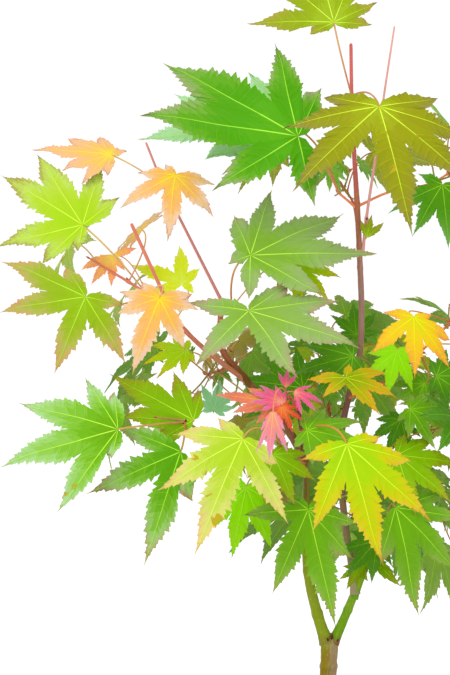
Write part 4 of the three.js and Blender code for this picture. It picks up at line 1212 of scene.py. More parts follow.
def lobe_rise(lobe, aside, share, margin, on_vein, free, phase):
    """How far one side of a lobe stands over the flat: it folds up from the rib, its veins are
    proud, it puckers between the side veins, and it waves along the margin."""
    rise = FOLD * aside * (1 - FOLD_EASING * aside / lobe.half)
    rise[:, 0] += VEIN_RISE
    rise[:, 1] += VEIN_RISE * 0.5
    beside_vein = on_vein | np.roll(on_vein, 1)
    pucker = np.where(beside_vein, PUCKER, -PUCKER) * np.minimum(margin * PUCKER_ONSET, 1.0) * free**2
    rise[:, 2:4] += pucker[:, None]
    swing = np.sin(margin * WAVE_TURN + phase)
    return rise + WAVE * swing[:, None] * np.minimum(margin * EDGE_ONSET, 1.0)[:, None] * share**2


def lobe_side(lobe, notch, side, key):
    """One side of a lobe in rows from its rib to its margin: its corners, their rise, and the tone
    and the kind of what shows between them."""
    rib, length = lobe.rib, lobe.length
    ahead, edge = half_lobe(lobe, notch, side, key + lobe.order * 2.3)
    vein = VEIN_HALF_WIDTH * (1 - VEIN_TAPER * rib / length) * (LEAST_VEIN + VEIN_BY_LOBE * length)
    share = np.tile(ACROSS, (len(rib), 1))
    share[:, 1] = np.clip(vein / np.maximum(edge, 1e-6), 0.0, WIDEST_VEIN)
    along = rib[:, None] + (ahead - rib)[:, None] * share**SIDE_VEIN_BEND
    aside = edge[:, None] * share
    past = np.clip((along - lobe.start) / (length - lobe.start), 0, 1)
    swayed = side * aside + lobe.bow * np.sin(past * math.pi) * past
    turned = math.radians(lobe.turn)
    x = along * math.cos(turned) - swayed * math.sin(turned)
    y = along * math.sin(turned) + swayed * math.cos(turned)
    heel = np.concatenate([[0.0], lobe.inner, [1.0]]) * notch[1]
    x[: INNER_ROWS + 1, -1] = heel * math.cos(math.radians(notch[0]))
    y[: INNER_ROWS + 1, -1] = heel * math.sin(math.radians(notch[0]))
    margin = np.concatenate([np.zeros(INNER_ROWS), lobe.stations])
    on_vein = np.concatenate([np.zeros(INNER_ROWS, bool), lobe.on_vein])
    free = min((length - ahead[INNER_ROWS]) / (length - lobe.start), 1.0)
    phase = WAVE_PHASE * chance(key + lobe.order + side * 0.3)
    rise = lobe_rise(lobe, aside, share, margin, on_vein, free, phase)
    tone = TONE_OUTWARDS[0] * (np.hypot(x, y)[1:, 1:] / length) ** TONE_OUTWARDS[1]
    edgewards = TONE_EDGEWARDS[0] * share[1:, 1:] ** TONE_EDGEWARDS[1]
    tone = tone + edgewards * np.minimum(margin[1:, None] * EDGE_ONSET, 1.0)
    kind = np.zeros(tone.shape, int)
    kind[:, 0] = 1 + np.minimum((rib[1:] / length * VEIN_STEPS).astype(int), VEIN_STEPS - 1)
    kind[on_vein[:-1], 1:3] = SIDE_VEIN_KIND
    return np.stack([x.ravel(), y.ravel()], -1), rise, tone, kind


def blade_plan(blade, key):
    """The flat plan of a leaf's upper face: corners in shares of its middle lobe, their rise,
    triangles, and for each triangle its tone from 0 to 1 and the kind of what it shows."""
    lobes = loosened(blade, key)
    notches = blade_notches(lobes, blade.slim)
    plans, rises, faces, tones, kinds = [], [], [], [], []
    count = 0
    for order, (turn, length) in enumerate(lobes):
        beside = (notches[order], notches[order + 1])
        lobe = lobe_plan(blade, order, turn, length, beside, key)
        for side, notch in zip((-1, 1), beside):
            places, rise, tone, kind = lobe_side(lobe, notch, side, key)
            grid = grid_faces(*rise.shape)
            faces.append((grid[:, ::-1] if side > 0 else grid) + count)
            count += rise.size
            plans.append(places)
            rises.append(rise.ravel())
            tones.append(np.repeat(tone.ravel(), 2))
            kinds.append(np.repeat(kind.ravel(), 2))
    plan, first, place = np.unique(
        np.round(np.concatenate(plans), 6), axis=0, return_index=True, return_inverse=True,
    )
    rise = np.concatenate(rises)[first]
    faces = place.reshape(-1)[np.concatenate(faces)]
    whole = (faces[:, 0] != faces[:, 1]) & (faces[:, 1] != faces[:, 2]) & (faces[:, 2] != faces[:, 0])
    return plan, rise, faces[whole], np.concatenate(tones)[whole], np.concatenate(kinds)[whole]


def leaf_skin(blade, key):
    """A leaf as corners, triangles and a finish for each: a thin blade with an upper and an under
    face, closed round its toothed margin."""
    plan, rise, faces, tones, kinds = blade_plan(blade, key)
    x, y = plan.T
    out = np.hypot(x, y)
    rise = rise - blade.curl * out**3 + CREASES * np.sin(5 * x + key) * np.sin(6 * y + key * 2)
    edges = np.concatenate([faces[:, [0, 1]], faces[:, [1, 2]], faces[:, [2, 0]]])
    _, place, uses = np.unique(np.sort(edges, axis=1), axis=0, return_inverse=True, return_counts=True)
    border = edges[uses[place.reshape(-1)] == 1]
    on_border = np.zeros(len(plan), bool)
    on_border[border.ravel()] = True
    thick = np.where(on_border, EDGE_THICKNESS, BLADE_THICKNESS)
    upper = on_blade(blade, x, y, rise)
    under = on_blade(blade, x, y, rise - thick)
    a, b = border.T
    count = len(plan)
    walls = np.concatenate([
        np.stack([a, a + count, b + count], -1),
        np.stack([a, b + count, b], -1),
    ])
    all_faces = np.concatenate([faces, faces[:, ::-1] + count, walls])
    middles = plan[faces].mean(axis=1)
    cloud = np.sin(middles[:, 0] * 7 + key * 3) * np.sin(middles[:, 1] * 8 + key)
    cloud = cloud + 0.5 * np.sin(middles @ [17, 23] + key)
    speckle = chances(np.arange(len(tones)) * 0.37 + key) - 0.5
    tones = np.clip(tones + TONE_CLOUD * cloud + TONE_SPECKLE * speckle, 0, 1)
    steps = np.round(tones * (TONE_STEPS - 1)).astype(int)
    for ahead, aside, radius in blade.spots:
        kinds[np.hypot(middles[:, 0] - ahead, middles[:, 1] - aside) < radius] = SPOT_KIND
    shown = {k + 1: f"vein{k}" for k in range(VEIN_STEPS)}
    shown |= {SIDE_VEIN_KIND: "fine", SPOT_KIND: "spot"}
    finishes = [f"{blade.coat}.{shown.get(kind, step)}" for step, kind in zip(steps, kinds)]
    unders = []
    for step, kind in zip(steps, kinds):
        shade = "vein0" if 0 < kind <= VEIN_STEPS else f"under{step * UNDER_STEPS // TONE_STEPS}"
        unders.append(f"{blade.coat}.{shade}")
    rim = [f"{blade.coat}.{TONE_STEPS - 1}"] * len(walls)
    return np.concatenate([upper, under]), all_faces, finishes + unders + rim


# Twigs, leaf stalks and buds

STALK_SIDES = 6
TWIG_SIDES = 8
STALK_TONES = 3
STALK_ROW = 1.6
FEWEST_STALK_ROWS = 10
TWIG_ROW = 1.1
FEWEST_TWIG_ROWS = 8

# A stalk's radius, which grows with its blade's span up to the thickest. Its swellings and those
# of a twig are given by how much thicker they make it and how far they reach.
THINNEST_STALK = 0.2
STALK_GROWTH = 0.0048
THICKEST_STALK = 0.5
STALK_FOOT = (0.75, 1.6)
STALK_HEAD = (0.25, 1.5)
TWIG_FOOT = (0.35, 2.4)
TWIG_NODE = (0.45, 1.1)
TWIG_SUNK = 2.0
# How a twig closes: over the last 0.2 mm to 0.7 of its radius where it was cut, else over the
# last millimetre to nearly nothing
CUT_END = (0.2, 0.7)
ROUND_TIP = 0.05
LEAFY_TWIG_GIRTH = 0.72
CUT_SHOOTS = ("foliage_side_shoot", "foliage_left_shoot", "foliage_top")
BARE_SHOOTS = CUT_SHOOTS + ("foliage_far_left",)

# Buds: the shape they share along their length, then each kind's size and tint
BUD_LENGTH = 3.0
BUD_RADIUS = 0.85
BUD_SHAPE = [0.55, 0.85, 1.0, 0.98, 0.8, 0.5, 0.22, 0.04]
BUD_SUNK = 0.25
FINE_BUD = (0.45, "bud.#8C5C38")
END_BUD = (0.6, "bud.#A8583C")
AXIL_BUD = (0.55, "bud.#8C3C38")
AXIL_BUD_VARIETY = 0.25
AXIL_BUD_APART = 0.6
AXIL_BUD_LEAN = 0.9


def stalk_skin(skin, blade):
    """A leaf stalk: swollen where it leaves the twig, slim in the middle, wider where the veins meet."""
    course = blade.stalk
    shares = np.linspace(0, 1, max(int(course.length / STALK_ROW), FEWEST_STALK_ROWS) + 1)
    middles = np.array([course.at(share) for share in shares])
    girth = min(THICKEST_STALK, THINNEST_STALK + STALK_GROWTH * blade.span)
    foot = STALK_FOOT[0] * np.exp(-((shares * course.length / STALK_FOOT[1]) ** 2))
    head = STALK_HEAD[0] * np.exp(-(((1 - shares) * course.length / STALK_HEAD[1]) ** 2))
    radii = girth * (1 + foot + head)
    radii[-1] *= 0.5
    corners, faces = tube(middles, radii, STALK_SIDES)
    reach = blade.at - blade.node
    steps = np.clip((corners[faces].mean(axis=1) - blade.node) @ reach, 0, None)
    steps = steps / max(np.dot(reach, reach), 1e-6)
    tones = np.clip((steps * STALK_TONES).astype(int), 0, STALK_TONES - 1)
    skin.add(corners, faces, [f"{blade.coat}.stalk{tone}" for tone in tones])


def bud_skin(skin, at, way, size, finish):
    """A bud, sunk a little into what bears it."""
    middles = at + np.linspace(-BUD_SUNK, 1.0, len(BUD_SHAPE))[:, None] * (BUD_LENGTH * size * unit(way))
    corners, faces = tube(middles, BUD_RADIUS * size * np.array(BUD_SHAPE), TWIG_SIDES)
    skin.add(corners, faces, finish)


def twig_skin(skin, places, girth, nodes, finish, cut=False):
    """A young twig with a swollen ring at each node. It starts inside the limb that carries it,
    and ends in a rounded tip or, where it was cut, in a flat one."""
    places = np.array(places, float)
    places = np.concatenate([[places[0] - TWIG_SUNK * unit(places[1] - places[0])], places])
    course = Course(places)
    shares = np.linspace(0, 1, max(int(course.length / TWIG_ROW), FEWEST_TWIG_ROWS) + 1)
    middles = np.array([course.at(share) for share in shares])
    radii = np.array([value_along(girth, share) for share in shares])
    swelling = np.zeros(len(middles))
    for node in nodes:
        apart = np.linalg.norm(middles - node, axis=1)
        swelling = np.maximum(swelling, np.exp(-((apart / TWIG_NODE[1]) ** 2)))
    radii = radii * (1 + TWIG_NODE[0] * swelling)
    left = (1 - shares) * course.length
    radii *= 1 + TWIG_FOOT[0] * np.exp(-(shares * course.length / TWIG_FOOT[1]))
    radii *= np.clip(left / CUT_END[0], CUT_END[1], 1) if cut else np.sqrt(np.clip(left, ROUND_TIP, 1))
    corners, faces = tube(middles, radii, TWIG_SIDES)
    skin.add(corners, faces, finish)
    return course


def mass_pieces(home, number):
    """The two pieces that stand for a mass: its blades, and its twigs with stalks and buds."""
    twigs, leaves = Skin(), Skin()
    nodes = [blade.node for blade in home.leaves]
    finish = f"twig.{home.twig}"
    cut = home.name in CUT_SHOOTS
    slim = 1.0 if home.name in BARE_SHOOTS else LEAFY_TWIG_GIRTH
    stem = twig_skin(twigs, home.stem, [slim * radius for radius in home.girth], nodes, finish, cut=cut)
    for course, girth in home.shoots:
        twig_skin(twigs, course, girth, [], finish, cut=True)
    for course in home.fine_twigs:
        fine = twig_skin(twigs, course, FINE_TWIG_GIRTH, [np.array(course[-1])], "twig." + FINE_TWIG_TINT)
        bud_skin(twigs, fine.at(1.0), fine.direction(1.0), *FINE_BUD)
    for order, blade in enumerate(home.leaves):
        key = number * 7.3 + order * 1.9
        stalk_skin(twigs, blade)
        leaves.add(*leaf_skin(blade, key))
        axil = unit(unit(blade.at - blade.node) + AXIL_BUD_LEAN * stem.direction(0.6))
        size = AXIL_BUD[0] + AXIL_BUD_VARIETY * chance(key + 3)
        bud_skin(twigs, blade.node + AXIL_BUD_APART * axil, axil, size, AXIL_BUD[1])
    if not cut:
        bud_skin(twigs, stem.at(1.0), stem.direction(1.0), *END_BUD)
    short = home.name.removeprefix("foliage_")
    for piece, slot in (
        (leaves.piece("leaves_" + short, leaf_finish), "foliage"),
        (twigs.piece("twigs_" + short, leaf_finish, crease=70.0), "red_bark"),
    ):
        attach(piece, "root")
        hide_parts(home.name)


# Limbs

LIMB_SIDES = 28
TRUNK_SIDES = 56
LIMB_ROW = 1.1
SOIL_BITE = 2.0
# Swellings, by how much thicker they make a limb and how far they reach: round each node in
# millimetres, and at a limb's foot in shares of its radius there
LIMB_NODE = (0.13, 1.3)
LIMB_FOOT = (0.5, 2.2)
ROUNDED_END = 1.2
FLARE_EASING = 1.6
# Swells of the bark, each with its depth as a share of the radius, how many go round the limb,
# its slant and its phase, and the fine rings across them
BARK_SWELLS = [(0.022, 3, 0.05, 1), (0.018, 5, -0.09, 2), (0.014, 9, 0.11, 3), (0.010, 2, 0.45, 1)]
BARK_RINGS = (0.012, 1.7)
# Buds in the fork: their place, the way they point and their size
FORK_BUDS = [
    ([1.2, -3.9, 107.2], [0.25, -0.35, 1.0], 0.9),
    ([-0.6, -4.3, 106.2], [-0.3, -0.6, 0.8], 0.75),
    ([3.9, -2.6, 105.4], [0.8, -0.4, 0.7], 0.6),
]
FORK_BUD_FINISH = "bud.#6A2A34"
# Heights of the nodes that ring each limb
LIMB_NODES = {
    "trunk": [74.0, 92.0],
    "stem_left": [119.0, 141.0, 163.0, 197.0, 211.0],
    "stem_right": [121.0],
    "leader": [138.0, 160.0, 180.0, 204.0, 229.0, 262.0, 293.5, 304.0, 325.5, 352.0],
    "bough_left": [222.0, 238.0, 254.0, 270.0],
    "bough_far_left": [250.0, 262.0],
    "bough_low_left": [181.0, 199.0],
    "bough_right": [144.0, 163.0, 180.0],
    "bough_back": [190.0, 203.0],
    "bough_low_back": [146.0, 154.0],
}
CUT_LIMBS = ("leader",)


def bark_relief(rows, sides, key):
    """Shallow fibres along the limb with a slow swell round it, as a share of its radius."""
    row = np.linspace(0, 1, rows)[:, None] * rows * LIMB_ROW
    angle = np.linspace(0, 2 * math.pi, sides, endpoint=False)[None, :]
    relief = 0.0
    for depth, count, slant, phase in BARK_SWELLS:
        relief = relief + depth * np.sin(count * angle + row * slant + key * phase)
    return relief + BARK_RINGS[0] * np.sin(row * BARK_RINGS[1] + 2 * np.sin(3 * angle + key))


def limb_piece(name, number):
    """A limb with its nodes' rings, its swollen foot and its bark. The trunk flares instead, and
    carries the fork's buds."""
    places, girth = LIMBS[name]
    is_trunk = name == "trunk"
    course = Course(places)
    rows = int(course.length / LIMB_ROW) + 2
    shares = np.linspace(0, 1, rows)
    sides = TRUNK_SIDES if is_trunk else LIMB_SIDES
    middles = np.array([course.at(share) for share in shares])
    radii = np.array([value_along(girth, share) for share in shares])
    walked, left = shares * course.length, (1 - shares) * course.length
    for height in LIMB_NODES[name]:
        radii = radii * (1 + LIMB_NODE[0] * np.exp(-(((middles[:, 2] - height) / LIMB_NODE[1]) ** 2)))
    if not is_trunk:
        radii = radii * (1 + LIMB_FOOT[0] * np.exp(-walked / (LIMB_FOOT[1] * girth[0])))
    if name not in CUT_LIMBS:
        radii = radii * np.sqrt(np.clip(left / (ROUNDED_END * girth[-1]), 0.03, 1))
    radii = radii[:, None] * (1 + bark_relief(rows, sides, number * 1.7))
    if is_trunk:
        swell = np.exp(-walked / ROOT_FLARE_HEIGHT * FLARE_EASING)[:, None]
        angle = np.linspace(0, 2 * math.pi, sides, endpoint=False)[None, :]
        ridge = 1 + ROOT_RIDGE_DEPTH * swell * np.cos(ROOT_RIDGES * angle)
        radii = radii * (1 + (ROOT_FLARE - 1) * swell) * ridge
        middles[0, 2] -= SOIL_BITE
    skin = Skin()
    skin.add(*tube(middles, radii, sides, level=is_trunk), name)
    if is_trunk:
        for at, way, size in FORK_BUDS:
            bud_skin(skin, np.array(at), np.array(way), size, FORK_BUD_FINISH)
    piece = skin.piece(name + "_bark", limb_finish, crease=70.0)
    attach(piece, "root")
    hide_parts(name)


# Pot and soil

POT_ARC = 14
ROUND_STEPS = 5
POT_ROWS = 22
POT_INNER_HEIGHTS = (52.0, 40.0, 30.0, POT_BEND_HEIGHT)
DRAIN_SIDES = 48
SOIL_BED_SUNK = 1.2
SOIL_BED_RINGS = (0.8, 0.55, 0.3, 0.12)

# The granules: how each one's size, dents, flatness and height vary, and where none lie
GRAIN_SEED = 7
GRAIN_SIZE = (0.6, 1.15)
GRAIN_DENTS = (0.72, 1.12)
GRAIN_FLATNESS = (0.75, 1.1)
GRAIN_SUNK = 0.9
GRAIN_HEIGHT = (-0.7, 0.25)
GRAIN_OFF_WALL = 0.55
GRAIN_OFF_TRUNK = 6.5
GRAIN_TINTS = ["#9C6A48", "#B07C54", "#86573C", "#C2946C", "#6E4A38", "#A8907C"]


def rounded_outline(length, width, corner, height):
    """A level ring of places round a rectangle with round corners."""
    ring = []
    for quarter in range(4):
        right = 1 if quarter in (0, 3) else -1
        far = 1 if quarter < 2 else -1
        for step in range(POT_ARC + 1):
            angle = (quarter + step / POT_ARC) * math.pi / 2
            ring.append([
                right * (length / 2 - corner) + corner * math.cos(angle),
                far * (width / 2 - corner) + corner * math.sin(angle),
                height,
            ])
    return np.array(ring)


def pot_ring(inset, height):
    """The pot's outline a little way in from its widest."""
    corner = POT_CORNER - POT_CORNER_EASING * inset
    return rounded_outline(POT_LENGTH - 2 * inset, POT_WIDTH - 2 * inset, corner, height)


def pot_inset(height):
    """How far in the pot's battered wall stands at a height under its lip."""
    return POT_LIP + POT_BATTER * (1 - height / (POT_HEIGHT - POT_LIP_HEIGHT)) ** POT_BATTER_CURVE


def pot_inner_inset(height):
    """How far in the inner face of the wall stands above its bend."""
    share = (height - POT_BEND_HEIGHT) / (POT_INNER_TOP - POT_BEND_HEIGHT)
    return pot_inset(POT_BEND_HEIGHT) + (POT_LIP - pot_inset(POT_BEND_HEIGHT)) * share + POT_WALL


def quarter_round(radius):
    """Steps of a rounded edge, as how far in and how far up from its start."""
    angles = np.linspace(0, math.pi / 2, ROUND_STEPS + 1)
    return [(radius * (1 - math.cos(a)), radius * math.sin(a)) for a in angles]


def drill_drain(pot, side):
    """Cuts one of the pot's two drain holes through its floor."""
    drill = bpy.data.meshes.new("drain")
    form = bmesh.new()
    bmesh.ops.create_cone(
        form, cap_ends=True, segments=DRAIN_SIDES,
        radius1=DRAIN_DIAMETER / 2 * MM, radius2=DRAIN_DIAMETER / 2 * MM, depth=POT_FLOOR * 2 * MM,
        matrix=Matrix.Translation((side * DRAIN_OFFSET * MM, 0, POT_FLOOR / 2 * MM)),
    )
    form.to_mesh(drill)
    form.free()
    cutter = bpy.data.objects.new("drain", drill)
    bpy.context.scene.collection.objects.link(cutter)
    cut = pot.modifiers.new("drain", "BOOLEAN")
    cut.operation = "DIFFERENCE"
    cut.object = cutter
    shaped = bpy.data.meshes.new_from_object(pot.evaluated_get(bpy.context.evaluated_depsgraph_get()))
    pot.modifiers.clear()
    pot.data = shaped
    bpy.data.objects.remove(cutter)


def pot_piece():
    """The pot, by rings up its outer wall, over its lip, down its inner wall and across its floor."""
    under = POT_HEIGHT - POT_LIP_HEIGHT
    rings = []
    for inward, upward in reversed(quarter_round(POT_ROUND)):
        rings.append(pot_ring(pot_inset(POT_ROUND - upward) + inward, POT_ROUND - upward))
    for height in np.linspace(2 * POT_ROUND, under, POT_ROWS):
        rings.append(pot_ring(pot_inset(height), height))
    for inward, upward in reversed(quarter_round(POT_ROUND)):
        rings.append(pot_ring(inward, under + POT_ROUND - upward))
    for inward, upward in quarter_round(POT_ROUND):
        rings.append(pot_ring(inward, POT_HEIGHT - POT_ROUND + upward))
    inner = POT_LIP + POT_WALL
    for inward, upward in reversed(quarter_round(POT_INNER_ROUND)):
        rings.append(pot_ring(inner - inward, POT_HEIGHT - POT_INNER_ROUND + upward))
    for height in POT_INNER_HEIGHTS:
        rings.append(pot_ring(pot_inner_inset(height), height))
    rings.append(pot_ring(pot_inset(POT_FLOOR) + POT_WALL, POT_FLOOR))
    skin = Skin()
    skin.add(*lofted(rings), "pot")
    pot = skin.piece("pot_clay", limb_finish, crease=40.0)
    for side in (-1, 1):
        drill_drain(pot, side)
    pot.data.set_sharp_from_angle(angle=math.radians(40))
    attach(pot, "root")
    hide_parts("pot")


def soil_height(x, y):
    """The mound's height over a place: a flat seat under the trunk, then a gently heaped slope
    down to the pot's wall."""
    radius = np.hypot(x, y)
    inset = pot_inner_inset(SOIL_EDGE_HEIGHT) + CLEARANCE
    half_length, half_width = POT_LENGTH / 2 - inset, POT_WIDTH / 2 - inset
    corner = (np.abs(x) / half_length) ** 4 + (np.abs(y) / half_width) ** 4
    share = np.clip(corner**0.25, 0, 1)
    seat = SOIL_SEAT_RADIUS / np.maximum(radius / np.maximum(share, 1e-6), 1e-6)
    slope = np.clip((share - seat) / (1 - seat), 0, 1)
    heaped = np.sin(2 * math.pi * x / SOIL_SWELL_LENGTH) * np.cos(2 * math.pi * y / SOIL_SWELL_WIDTH)
    swell = SOIL_SWELL * heaped * np.sin(math.pi * slope)
    return SOIL_SEAT_HEIGHT + (SOIL_EDGE_HEIGHT - SOIL_SEAT_HEIGHT) * slope + swell


def soil_bed():
    """The bed of soil, up to just under its surface."""
    edge_height = SOIL_EDGE_HEIGHT - SOIL_BED_SUNK
    edge = pot_ring(pot_inner_inset(edge_height) + CLEARANCE, edge_height)
    rings = [
        pot_ring(pot_inset(POT_FLOOR) + POT_WALL + CLEARANCE, POT_FLOOR + CLEARANCE),
        pot_ring(pot_inner_inset(POT_BEND_HEIGHT) + CLEARANCE, POT_BEND_HEIGHT),
        edge,
    ]
    for share in SOIL_BED_RINGS:
        ring = edge * [share, share, 1]
        ring[:, 2] = soil_height(ring[:, 0], ring[:, 1]) - SOIL_BED_SUNK
        rings.append(ring)
    skin = Skin()
    skin.add(*lofted(rings), "soil")
    return skin.piece("soil_bed", limb_finish)


def soil_grains():
    """The loose granules that cover the bed, each dented, flattened and turned its own way."""
    form = bmesh.new()
    bmesh.ops.create_icosphere(form, subdivisions=1, radius=1.0)
    ball = np.array([corner.co[:] for corner in form.verts])
    ball_faces = np.array([[corner.index for corner in face.verts] for face in form.faces])
    form.free()
    draw = np.random.default_rng(GRAIN_SEED)
    inset = pot_inner_inset(SOIL_EDGE_HEIGHT) + CLEARANCE + SOIL_GRAIN * GRAIN_OFF_WALL
    half = np.array([POT_LENGTH / 2 - inset, POT_WIDTH / 2 - inset])
    corner = POT_CORNER - POT_CORNER_EASING * inset
    skin = Skin()
    laid = 0
    while laid < SOIL_GRAINS:
        place = draw.uniform(-half, half)
        beyond = np.maximum(np.abs(place) - (half - corner), 0)
        if np.hypot(*beyond) > corner or np.hypot(*place) < GRAIN_OFF_TRUNK:
            continue
        laid += 1
        size = SOIL_GRAIN / 2 * draw.uniform(*GRAIN_SIZE)
        shape = ball * draw.uniform(*GRAIN_DENTS, (len(ball), 1)) * draw.uniform(*GRAIN_FLATNESS, 3) * size
        turn = np.linalg.qr(draw.normal(size=(3, 3)))[0]
        turn[:, 0] *= np.linalg.det(turn)
        height = float(soil_height(*place)) - GRAIN_SUNK + draw.uniform(*GRAIN_HEIGHT)
        skin.add(shape @ turn.T + [*place, height], ball_faces, f"grain.{draw.integers(len(GRAIN_TINTS))}")
    return skin.piece("soil_grains", limb_finish, crease=25.0)


def soil_pieces():
    for piece in (soil_bed(), soil_grains()):
        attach(piece, "root")
        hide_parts("soil")


# Colours

def srgb(colour):
    """The three shares, 0 to 1, of a hex colour as it is seen."""
    return np.array([int(colour[k : k + 2], 16) for k in (1, 3, 5)]) / 255


def linear(colour):
    """A colour as light, for a shader: from hex, or from shares as it is seen."""
    seen = srgb(colour) if isinstance(colour, str) else np.asarray(colour)
    light = np.where(seen <= 0.04045, seen / 12.92, ((seen + 0.055) / 1.055) ** 2.4)
    return (*light.tolist(), 1.0)


def blend(one, other, share):
    """A colour a share of the way from one to another, as they are seen."""
    one, other = (srgb(c) if isinstance(c, str) else np.asarray(c) for c in (one, other))
    return one + (other - one) * share


def tone_along(tones, share):
    """The colour at a share of the way along a coat's tones."""
    place = share * (len(tones) - 1)
    first = min(int(place), len(tones) - 2)
    return blend(tones[first], tones[first + 1], place - first)


# Materials

LEAF_SHINE = 0.1
LEAF_SPOT = "#B09A20"
UNDER_BLOOM = "#DCE8A8"
BARK_SHINE = 0.15
BARK_PORE = "#D8C090"
BARK_FIBRE = "#5C3A2C"
# How far a limb's tints shift up and down in patches, in millimetres, and how strongly its flushed
# side shows
BARK_SHIFT = 8.0
TRUNK_FLUSH = 0.85
LIMB_FLUSH = 0.45


def node(tree, kind, inputs=None, **settings):
    """Adds a node, sets it up, and fills its inputs with values or with other nodes' outputs."""
    made = tree.nodes.new("ShaderNode" + kind)
    for name, value in settings.items():
        setattr(made, name, value)
    for name, value in (inputs or {}).items():
        if isinstance(value, bpy.types.NodeSocket):
            tree.links.new(value, made.inputs[name])
        else:
            made.inputs[name].default_value = value
    return made


def blank_material(name, colour, roughness, ior, shine=0.5):
    material = bpy.data.materials.new(name)
    material.use_nodes = True
    tree = material.node_tree
    shader = tree.nodes["Principled BSDF"]
    shader.inputs["Base Color"].default_value = linear(colour)
    shader.inputs["Roughness"].default_value = roughness
    shader.inputs["IOR"].default_value = ior
    shader.inputs["Specular IOR Level"].default_value = shine
    place = node(tree, "TexCoord").outputs["Object"]
    return material, tree, shader, place


def per_metre(size_mm):
    """The scale that makes one cell of a pattern this many millimetres wide."""
    return 1000.0 / size_mm


def add_bump(tree, shader, height, strength, depth_mm):
    bump = node(tree, "Bump", {"Height": height, "Strength": strength, "Distance": depth_mm * MM})
    tree.links.new(bump.outputs["Normal"], shader.inputs["Normal"])


# Maple leaf skin: a thin waxy cuticle over a net of fine veins, which gives a soft satin gloss
# broken into cells. The real net is under half a millimetre wide, so it is drawn a little over a
# millimetre wide, as coarse as it needs to show.
def leaf_skin_material(name, colour, roughness=0.42):
    material, tree, shader, place = blank_material(name, colour, roughness, 1.42, LEAF_SHINE)
    cells = node(
        tree, "TexVoronoi", {"Vector": place, "Scale": per_metre(1.3)}, feature="DISTANCE_TO_EDGE",
    )
    edge = node(tree, "MapRange", {"Value": cells.outputs["Distance"], "From Max": 0.16})
    add_bump(tree, shader, edge.outputs["Result"], 0.35, 0.06)
    return material


# Vein, stalk and young twig skin: smooth, taut and a little glossier than the blade, with a fine
# grain, drawn coarser than the real one, that only shows as a softened highlight.
def rind_material(name, colour, roughness=0.36):
    material, tree, shader, place = blank_material(name, colour, roughness, 1.45, LEAF_SHINE)
    grain = node(tree, "TexNoise", {"Vector": place, "Scale": per_metre(0.9), "Detail": 3.0})
    add_bump(tree, shader, grain.outputs["Fac"], 0.3, 0.08)
    return material


FINISHES = {}


def leaf_finish(finish):
    """The material of a leaf's tone, vein or stalk, of a twig or of a bud, made once for each."""
    if finish in FINISHES:
        return FINISHES[finish]
    owner, kind = finish.split(".")
    name = "maple_" + finish.replace("#", "").replace(".", "_")
    if owner == "twig":
        made = rind_material(name, kind)
    elif owner == "bud":
        made = rind_material(name, kind, roughness=0.45)
    else:
        tones, vein, stalk = COATS[owner]
        if kind.startswith("vein"):
            way = int(kind[4:]) / VEIN_STEPS
            made = rind_material(name, blend(tone_along(tones, way), vein, 0.9 - 0.4 * way))
        elif kind == "spot":
            made = leaf_skin_material(name, LEAF_SPOT, roughness=0.7)
        elif kind == "fine":
            made = leaf_skin_material(name, blend(tone_along(tones, 0.4), vein, 0.16))
        elif kind.startswith("stalk"):
            made = rind_material(name, blend(stalk, vein, int(kind[5:]) * 0.1))
        elif kind.startswith("under"):
            tone = tone_along(tones, (int(kind[5:]) + 0.5) / UNDER_STEPS)
            made = leaf_skin_material(name, blend(tone, UNDER_BLOOM, 0.3), roughness=0.6)
        else:
            made = leaf_skin_material(name, tone_along(tones, int(kind) / (TONE_STEPS - 1)))
    FINISHES[finish] = made
    return made


# Each limb's bark: its tints by height in millimetres, and the tint of its flushed side
BARKS = {
    "trunk": (
        [
            (52, "#7C6830"), (80, "#8A7A10"), (98, "#907E08"),
            (103, "#8C9414"), (106, "#8A6434"), (109, "#7C5438"),
        ],
        "#AE9470",
    ),
    "stem_left": (
        [
            (104, "#8A6438"), (109, "#94A414"), (118, "#8C9C0C"),
            (150, "#868A14"), (185, "#7C5C2C"), (223, "#6C4848"),
        ],
        "#8CA41C",
    ),
    "stem_right": (
        [(104, "#8A6038"), (108, "#78A80C"), (120, "#74A808"), (127, "#7CA414"), (130, "#A0A068")],
        "#88B424",
    ),
    "leader": (
        [
            (128, "#A89C74"), (134, "#A8A078"), (150, "#988860"), (190, "#8C6454"), (225, "#845850"),
            (250, "#94705C"), (285, "#A0746C"), (300, "#A4684C"), (325, "#B06C4C"), (340, "#C0605C"),
            (366, "#D06464"),
        ],
        "#B08880",
    ),
    "bough_left": (
        [(197, "#6C4834"), (225, "#78581C"), (240, "#6C480C"), (250, "#985838"), (277, "#C06C60")],
        "#A06C50",
    ),
    "bough_far_left": ([(237, "#B0684C"), (268, "#D07860")], "#C88468"),
    "bough_low_left": ([(163, "#8C9034"), (190, "#9C8040"), (211, "#B07448")], "#A09850"),
    "bough_right": ([(127, "#6CA818"), (150, "#68A41C"), (192, "#98A040")], "#88B440"),
    "bough_back": ([(180, "#8C6C48"), (212, "#B07450")], "#A08460"),
    "bough_low_back": ([(137, "#849440"), (157, "#A08C50")], "#989C54"),
}


